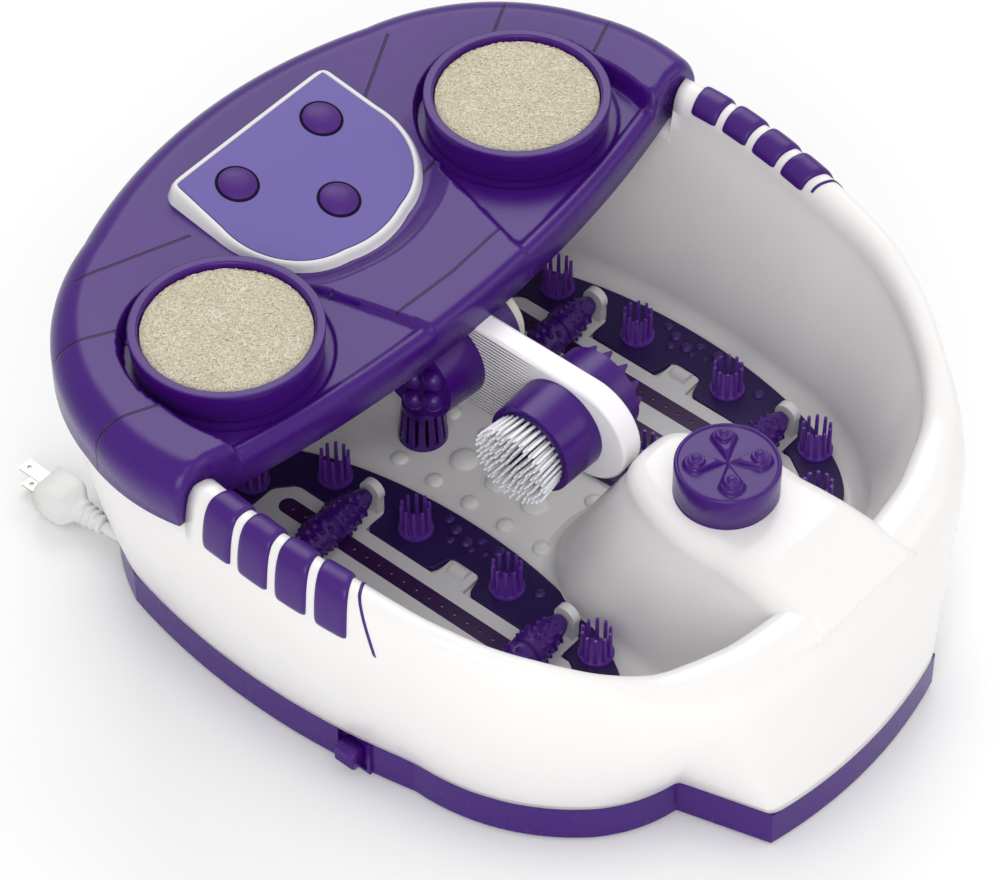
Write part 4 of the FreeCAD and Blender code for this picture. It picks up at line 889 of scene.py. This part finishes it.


# A loofah disc: a slightly crowned face whose height ripples, painted darker as the shade between
# the fibres, under a mat of short curled fibres that lie in it. Each fibre is an arc of a small
# circle, swept as a three-sided thread.
def buildLoofah(name, side, seed):
    look, place = loofah, [side * cup["x"], cup["y"], 0]
    radius, level = cup["inner"] - look["rim"], cup["top"] - look["sink"]
    r = radius * np.sqrt(np.linspace(0, 1, 60))
    r[0] = 0.01
    turn = np.linspace(0, 2 * np.pi, 200, endpoint=False)
    flat = np.stack([np.outer(r, np.cos(turn)), np.outer(r, np.sin(turn))], -1)
    z = level - look["round"] * (r[:, None] / radius) ** 8
    z = z + 0.28 * ripple(flat, 3.0, seed) + 0.22 * ripple(flat, 1.4, seed + 1)
    top = np.concatenate([flat, z[..., None]], -1)
    lower = top[-1:] * [1, 1, 0] + [0, 0, level - 8]
    body = closedGrid("loofahCore_" + name, (np.vstack([top, lower]) + place) * mm)
    finished(body, loofahPaintedShade, "loofah_" + name, "loofah_pad_" + name, slot="loofah")

    dice = np.random.default_rng(seed)
    count, steps = look["fibres"], look["points"]
    where = radius * 0.985 * np.sqrt(dice.uniform(0, 1, count))
    angle = dice.uniform(0, 2 * np.pi, count)
    middle = np.column_stack([where * np.cos(angle), where * np.sin(angle)])
    bend = dice.uniform(*look["bend"], count)
    start = dice.uniform(0, 2 * np.pi, count)
    sweep = dice.uniform(*look["sweep"], count) * dice.choice([-1, 1], count)
    along = np.linspace(0, 1, steps)
    phase = start[:, None] + sweep[:, None] * along
    out = np.stack([np.cos(phase), np.sin(phase)], -1)
    path = middle[:, None, :] + bend[:, None, None] * out
    far = np.linalg.norm(path, axis=-1, keepdims=True)
    path = path * np.minimum(1, radius * 0.99 / far)
    height = level + 0.12 + dice.uniform(-0.15, 0.42, count)[:, None]
    height = height - look["round"] * (far[..., 0] / radius) ** 8 - 0.3 * (2 * along - 1) ** 2
    thick = dice.uniform(*look["thick"], count)[:, None] * (1 - 0.5 * (2 * along - 1) ** 4)
    corners = []
    for du, dv in ((1, -0.5), (0, 1), (-1, -0.5)):
        plan = path + out * (thick * du)[..., None]
        corners.append(np.concatenate([plan, (height + thick * dv)[..., None]], -1))
    points = np.stack(corners, 2).reshape(-1, 3) + place
    starts = (np.arange(count) * steps * 3)[:, None, None]
    walls = (np.array(gridFaces(steps, 3))[None] + starts).reshape(-1, 4)
    caps = np.array([[2, 1, 0], [3 * steps - 3, 3 * steps - 2, 3 * steps - 1]])
    caps = (caps[None] + starts).reshape(-1, 3)
    piece = newPiece("loofahFibres_" + name, points * mm, walls.tolist() + caps.tolist())
    finished(piece, loofahTone, "loofah_" + name, slot="loofah")


buildCups()
buildLoofah("left", -1, 11)
buildLoofah("right", 1, 23)
print("loofah cups")


# control panel

# The bezel: rings round the shield, each at a distance from it and a drop from the sloping face.
bezel = {"foot": 161.5, "steps": [(7.4, -17.0), (6.4, -12.0), (4.9, -5.5), (3.7, -2.4), (3.0, -1.0),
                                  (2.3, -0.2), (1.4, 0.1), (0.6, 0.0), (0.1, -0.6), (0.0, -1.6)]}


def buildBezel():
    loop, foot = loopOf(shieldOutline, 40, 3), bezel["foot"]
    rings = [atLevel(moved(loop, 3), foot)]
    for away, drop in bezel["steps"]:
        level = np.maximum(panelLevel(loop[:, 1]) + drop, foot + 0.05 * away)
        rings.append(atLevel(moved(loop, away), level))
    finished(closedGrid("bezelShell", np.array(rings) * mm), whiteTrim, "basin", "control_bezel",
             slot="white_trim")


def panelMatrix(x, y):
    place = Vector((x, y, panelLevel(y))) * mm
    return Matrix.Translation(place) @ Matrix.Rotation(math.radians(panel["tilt"]), 4, "X")


button = {"radius": 9.45, "rise": 2.0, "edge": 0.6, "depth": -6.0,
          "places": {"vibration_button": (-30.0, 155.0), "bubble_button": (30.0, 155.0),
                     "jet_button": (0.0, 117.0)}}


# A button: a dome whose height falls as a power of the radius, over a straight skirt, in a near
# black ring of painted shade for the gap round it.
def buildButtons():
    radius, depth = button["radius"], button["depth"]
    for name, (x, y) in button["places"].items():
        r = radius * np.sin(np.linspace(0, 1, 14) * np.pi / 2)
        profile = np.column_stack([r, button["edge"] + button["rise"] * (1 - (r / radius) ** 2.6)])
        profile[0, 0] = 0.001
        profile = np.vstack([profile, [(radius, depth), (0.001, depth)]])
        dome = closedGrid(name + "_dome", turnedRings(profile, 72) * mm)
        finished(moveInto(dome, panelMatrix(x, y)), buttonPurple, name, name, slot="button_purple")
        # The ring round each button is painted shade for the gap, not a dark part.
        ring = rounded([(9.6, -1.2), (9.62, 0.25), (10.9, 0.12), (10.9, -1.2)], 0.3, 4)
        faces = gridFaces(len(ring), 72, over=True)
        gapShadeRing = cleaned(newPiece(name + "_collar", turnedRings(ring, 72) * mm, faces))
        finished(moveInto(gapShadeRing, panelMatrix(x, y)), paintedShadeBlack, "basin", slot="purple_shell")


buildBezel()
buildButtons()
print("control panel")


# rollers

# each ring of nubs: its place along the roller, how many, and its shift in shares of a gap
roller = {"radius": 9.2, "endRadius": 3.6, "length": 54.0, "level": 57.5, "x": 85.5, "rear": 51.0,
          "front": -72.0, "pinch": 1.5, "nub": 1.15, "nubHeight": 1.5,
          "nubRings": [(-19, 7, 0.2), (-14.5, 9, 0), (-10, 10, 0.3), (-5.6, 11, 0),
                       (5.6, 11, 0.3), (10, 10, 0), (14.5, 9, 0.35), (19, 7, 0)]}


# A spindle: radius is a power of the sine along its length, pinched at the middle, with rows of
# round nubs added as bell curves round it.
def buildRoller(side, name, end, y):
    rows, columns = 150, 120
    look, half = roller, roller["length"] / 2
    s = np.linspace(-half, half, rows)[:, None]
    turn = np.linspace(0, 2 * np.pi, columns, endpoint=False)[None, :]
    swell = np.cos(np.abs(s) / half * np.pi / 2) ** 0.75
    body = look["endRadius"] + (look["radius"] - look["endRadius"]) * swell
    body = body - look["pinch"] * np.exp(-((s / 0.7) ** 2))
    bumps = np.zeros((rows, columns))
    for place, count, shift in look["nubRings"]:
        radius = float(np.interp(place, s[:, 0], body[:, 0]))
        for number in range(count):
            angle = 2 * np.pi * (number + shift) / count
            swing = (turn - angle + np.pi) % (2 * np.pi) - np.pi
            gap = ((s - place) ** 2 + (swing * radius) ** 2) / look["nub"] ** 2
            bumps = np.maximum(bumps, np.exp(-gap ** 1.5))
    r = body + look["nubHeight"] * bumps
    x = np.broadcast_to(s, r.shape) + side * look["x"]
    rings = np.stack([x, y + r * np.cos(turn), look["level"] + r * np.sin(turn)], -1)
    label = f"roller_{name}_{end}"
    finished(closedGrid(label + "_spindle", rings * mm), purplePart, label, label,
             slot="roller_purple")


for side, name in ((-1, "left"), (1, "right")):
    for end in ("rear", "front"):
        buildRoller(side, name, end, roller[end])
print("rollers")


# mat studs

# x, y and radius on the left and the right mat; each also stands on the other three quarters
leftStuds = [(-34, 29, 3.0), (-37, 17, 2.6), (-47, 8, 2.4), (-43, 1, 3.4), (-37, -5, 1.6),
             (-37, -15, 3.0), (-43, -11, 1.6), (-45, -4, 1.8), (-45, -47, 3.2)]
rightStuds = [(131, 10, 3.2), (133, -4, 2.2), (133, -15, 3.0), (131, -48, 3.2), (128, -68, 2.4),
              (113, -102, 3.0), (134, 44, 3.2)]
matX = 85.5
studs = []
for x, y, radius in leftStuds + rightStuds:
    other = 2 * math.copysign(matX, x) - x
    studs += [(place, y, radius, radius * 0.55) for place in (x, -x, other, -other)]
studs = [s for s in studs if ((abs(s[0]) - matX) / 50) ** 2 + ((s[1] - 5) / 125) ** 2 < 1]
domes("matStuds", studs, studPurple, 45.5, "purple_soft")


# foot mats
bed = {"x": matX, "y": 5.0, "halfWidth": 54.2, "halfLength": 129.7, "bottom": 42.0, "top": 45.6,
       "edge": 0.7, "corner": 4.5,
       "window": [(18, -84), (18, -79), (33.5, -79), (33.5, -65), (18, -65), (18, -21), (31, -18),
                  (31, 0), (18, 3), (18, 44), (33.5, 44), (33.5, 58), (18, 58), (18, 88), (8, 97),
                  (-12, 97), (-22, 86), (-22, 58), (-33.5, 58), (-33.5, 44), (-22, 44), (-22, 3),
                  (-31, 0), (-31, -18), (-22, -21), (-22, -65), (-33.5, -65), (-33.5, -79),
                  (-22, -79), (-22, -88), (-14, -97), (10, -97)]}


# A mat is the area between an ellipse and its window, with rounded corners and a rounded edge all
# round: a flat curve with two loops, filled, thickened and bevelled.
def buildMats():
    look, inset = bed, bed["edge"]
    window = np.array(look["window"], float)
    middle = (window[-1] + window[0]) / 2
    window = rounded(np.vstack([middle, window, middle]), look["corner"], 6)[:-1]
    window = moved(window[::-1], inset)
    turn = np.linspace(0, 2 * np.pi, 220, endpoint=False)
    edge = np.column_stack([(look["halfWidth"] - inset) * np.cos(turn),
                            look["y"] + (look["halfLength"] - inset) * np.sin(turn)])
    for side, name in ((-1, "left"), (1, "right")):
        curve = bpy.data.curves.new("matCurve_" + name, "CURVE")
        curve.dimensions = "2D"
        curve.fill_mode = "BOTH"
        curve.bevel_depth = inset * mm
        curve.bevel_resolution = 3
        curve.extrude = ((look["top"] - look["bottom"]) / 2 - inset) * mm
        for loop in (edge, window):
            spline = curve.splines.new("POLY")
            spline.points.add(len(loop) - 1)
            flat = np.zeros((len(loop), 4))
            flat[:, :2], flat[:, 3] = (loop + [side * look["x"], 0]) * mm, 1
            spline.points.foreach_set("co", flat.ravel())
            spline.use_cyclic_u = True
        holder = bpy.data.objects.new("matCurve_" + name, curve)
        mesh = bpy.data.meshes.new_from_object(holder)
        bpy.data.objects.remove(holder)
        mesh.transform(Matrix.Translation((0, 0, (look["top"] + look["bottom"]) / 2 * mm)))
        mesh.name = "mat_" + name
        piece = cleaned(linked(bpy.data.objects.new("mat_" + name, mesh)), 0.000001)
        finished(piece, purpleSoft, "basin", "foot_mat_" + name, slot="purple_soft")


buildMats()
print("foot mats")


# cap on the island
nub = {"y": -120.5, "bottom": 134.4, "top": 154.3, "radius": 24.9, "lobe": 6.4, "lobeAt": 14.6,
       "lobeHeight": 2.6, "stepRadius": 3.9, "stepHeight": 1.9, "tipRadius": 2.5, "tipHeight": 1.6}


# The top is a height over polar rings: four drops pointing to the middle, each the nearest
# distance to a line along which its radius grows, with a stepped nub on its round end.
def buildNubCap():
    look, top, low, radius = nub, nub["top"], nub["bottom"], nub["radius"]
    rounds = radius - np.array([1.3, 0.8, 0.4, 0.15, 0.0])
    r = np.concatenate([np.linspace(0.05, rounds[0], 84), rounds[1:]])[:, None]
    turn = np.linspace(0, 2 * np.pi, 256, endpoint=False)[None, :]
    x, y = r * np.cos(turn), r * np.sin(turn)
    height, slope = np.zeros(x.shape), look["lobe"] / look["lobeAt"]
    for number in range(4):
        way = math.pi / 4 + number * math.pi / 2
        along = x * math.cos(way) + y * math.sin(way)
        across = np.abs(y * math.cos(way) - x * math.sin(way))
        reach = np.clip((along + across * slope) / (1 + slope ** 2), 0, look["lobeAt"])
        gap = np.hypot(along - reach, across) - reach * slope
        drop = look["lobeHeight"] * smoothStep(0.3, -1.5, gap)
        away = np.hypot(along - look["lobeAt"], across)
        step = look["stepHeight"] * smoothStep(0.35, -0.35, away - look["stepRadius"])
        tip = look["tipHeight"] * np.sqrt(np.clip(1 - (away / look["tipRadius"]) ** 2, 0, 1))
        height = np.maximum(height, drop + step + tip)
    edge = np.interp(r, rounds, [0, 0.12, 0.42, 0.85, 1.5])
    ridge = 0.8 * smoothStep(radius - 2.1, radius - 1.5, r)
    face = np.stack([x, y + look["y"], top - 0.8 + height + ridge - edge], -1)
    skirt = turnedRings([(radius, top - 4), (radius, low + 2.4), (radius - 0.3, low + 2.1),
                         (radius - 0.3, low + 1.7), (radius, low + 1.4), (radius, low)], 256)
    piece = closedGrid("nubCapShell", np.vstack([face, skirt + [0, look["y"], 0]]) * mm)
    finished(piece, purplePart, "nubs", "nub_cap", slot="purple_shell")


buildNubCap()


# A near black cone inside the intake: painted shade for its inside, seen between its ribs.
def buildIntakeShade():
    profile = rounded([(0.01, 43.0), (9.6, 43.0), (8.2, 63.5), (0.01, 63.5)], 0.5, 3)
    piece = closedGrid("intakeShadeCore", (turnedRings(profile, 48) + [0, 66, 0]) * mm)
    finished(piece, paintedShadeBlack, "intake", slot="purple_shell")


buildIntakeShade()


# side slider

# A ribbed outer face carried along +Y, a little smaller at its two ends.
knob = {"outer": -161.5, "inner": -152.9, "low": 6.3, "high": 18.9, "from": -29.8, "ribs": 5}


def buildSlider():
    look = knob
    z = np.linspace(look["low"] + 1.2, look["high"] - 1.2, look["ribs"] * 8 + 1)
    wave = 0.55 * np.abs(np.sin(np.linspace(0, np.pi * look["ribs"], len(z)))) ** 0.7
    outer = np.column_stack([look["outer"] + 0.6 - wave, z])
    loop = np.vstack([[look["inner"], look["low"]], [look["outer"] + 2, look["low"]], outer,
                      [look["outer"] + 2, look["high"]], [look["inner"], look["high"]]])
    middle = loop.mean(0)
    rings = []
    for y, size in ((0.0, 0.86), (0.35, 0.94), (1.0, 1.0), (10.6, 1.0), (11.25, 0.94), (11.6, 0.86)):
        ring = atLevel(middle + (loop - middle) * size, look["from"] + y)
        rings.append(ring[:, [0, 2, 1]])
    piece = closedGrid("sliderKnob", np.array(rings) * mm)
    finished(piece, purplePart, "side_slider", "side_slider", slot="purple_shell")


buildSlider()


# brush

brush = {"place": (-29.8, -28.0, 122.0), "length": 15.4, "thick": 0.82,
         "rings": [(0.0, 1), (2.9, 6), (5.8, 12), (8.7, 18), (11.6, 24), (14.5, 30), (17.2, 34),
                   (19.4, 36)],
         "taper": [(1.0, 0.0), (0.97, 0.5), (0.9, 0.88), (0.75, 0.965), (0.4, 1.0)]}


# Tufts in rings. Each is a tapered rod that leans outward more the further it is from the middle.
def buildBristles():
    dice, look = np.random.default_rng(5), brush
    angles = np.linspace(0, 2 * np.pi, 8, endpoint=False)
    faces = gridFaces(5, 8) + [list(range(7, -1, -1)), list(range(32, 40))]
    parts = []
    for ring, count in look["rings"]:
        for number in range(count):
            turn = 2 * math.pi * (number + (0.5 if count % 12 else 0)) / count
            base = np.array([ring * math.cos(turn), ring * math.sin(turn), 0.0])
            lean = ring * 0.0055 + dice.normal(0, 0.018)
            swing = dice.normal(0, 0.05)
            way = np.array([math.cos(turn + swing) * lean, math.sin(turn + swing) * lean, 1.0])
            way /= np.linalg.norm(way)
            side = np.cross(way, [0.3, 1, 0.1])
            side /= np.linalg.norm(side)
            long = look["length"] * dice.uniform(0.96, 1.0)
            around = np.outer(np.cos(angles), side) + np.outer(np.sin(angles), np.cross(way, side))
            rings = [base + way * (long * h) + look["thick"] * r * around for r, h in look["taper"]]
            parts.append((np.array(rings) * mm, faces))
    place = (Matrix.Translation(Vector(look["place"]) * mm)
             @ Matrix.Rotation(-math.pi / 2, 4, "Y"))
    piece = cleaned(moveInto(joined("bristleTufts", parts), place), 0.000001)
    finished(piece, bristleWhite, "brush", "brush_bristles", slot="bristle")
    disc = rounded([(0.001, 1.2), (20.6, 1.2), (20.9, 0.0), (20.9, -0.6), (0.001, -0.6)], 0.3, 3)
    plate = moveInto(closedGrid("bristlePlate", turnedRings(disc, 72) * mm), place)
    finished(plate, purpleSoft, "brush", slot="purple_shell")


buildBristles()
print("brush")


# floor and light

def buildStage():
    corners = [(-4, -4, -0.0005), (4, -4, -0.0005), (4, 4, -0.0005), (-4, 4, -0.0005)]
    floor = newPiece("paleFloor", corners, [(0, 1, 2, 3)], smooth=False)
    material = bpy.data.materials.new("paleFloor")
    material.use_nodes = True
    shader = material.node_tree.nodes["Principled BSDF"]
    shader.inputs["Base Color"].default_value = (0.92, 0.92, 0.92, 1)
    shader.inputs["Roughness"].default_value = 0.9
    floor.data.materials.append(material)


def areaLight(name, place, aim, size, power):
    light = bpy.data.lights.new(name, "AREA")
    light.shape = "RECTANGLE"
    light.size, light.size_y = size
    light.energy = power
    item = linked(bpy.data.objects.new(name, light))
    item.location = place
    item.rotation_euler = (Vector(place) - Vector(aim)).to_track_quat("Z", "Y").to_euler()


buildStage()
world = bpy.data.worlds.new("studio")
world.use_nodes = True
world.node_tree.nodes["Background"].inputs["Color"].default_value = (1, 1, 1, 1)
world.node_tree.nodes["Background"].inputs["Strength"].default_value = 0.72
bpy.context.scene.world = world
areaLight("keyLight", (1.35, 1.15, 1.95), (0.0, 0.08, 0.16), (1.7, 1.3), 20)
areaLight("topLight", (-0.25, -0.95, 2.1), (0, 0.03, 0.05), (1.0, 1.0), 3)
areaLight("fillLight", (-1.35, -0.95, 1.15), (0, 0.03, 0.06), (1.1, 1.1), 13)
areaLight("sideLight", (1.3, -1.7, 1.0), (0, 0, 0.1), (1.2, 1.2), 5)
bpy.context.scene.view_settings.view_transform = "Standard"
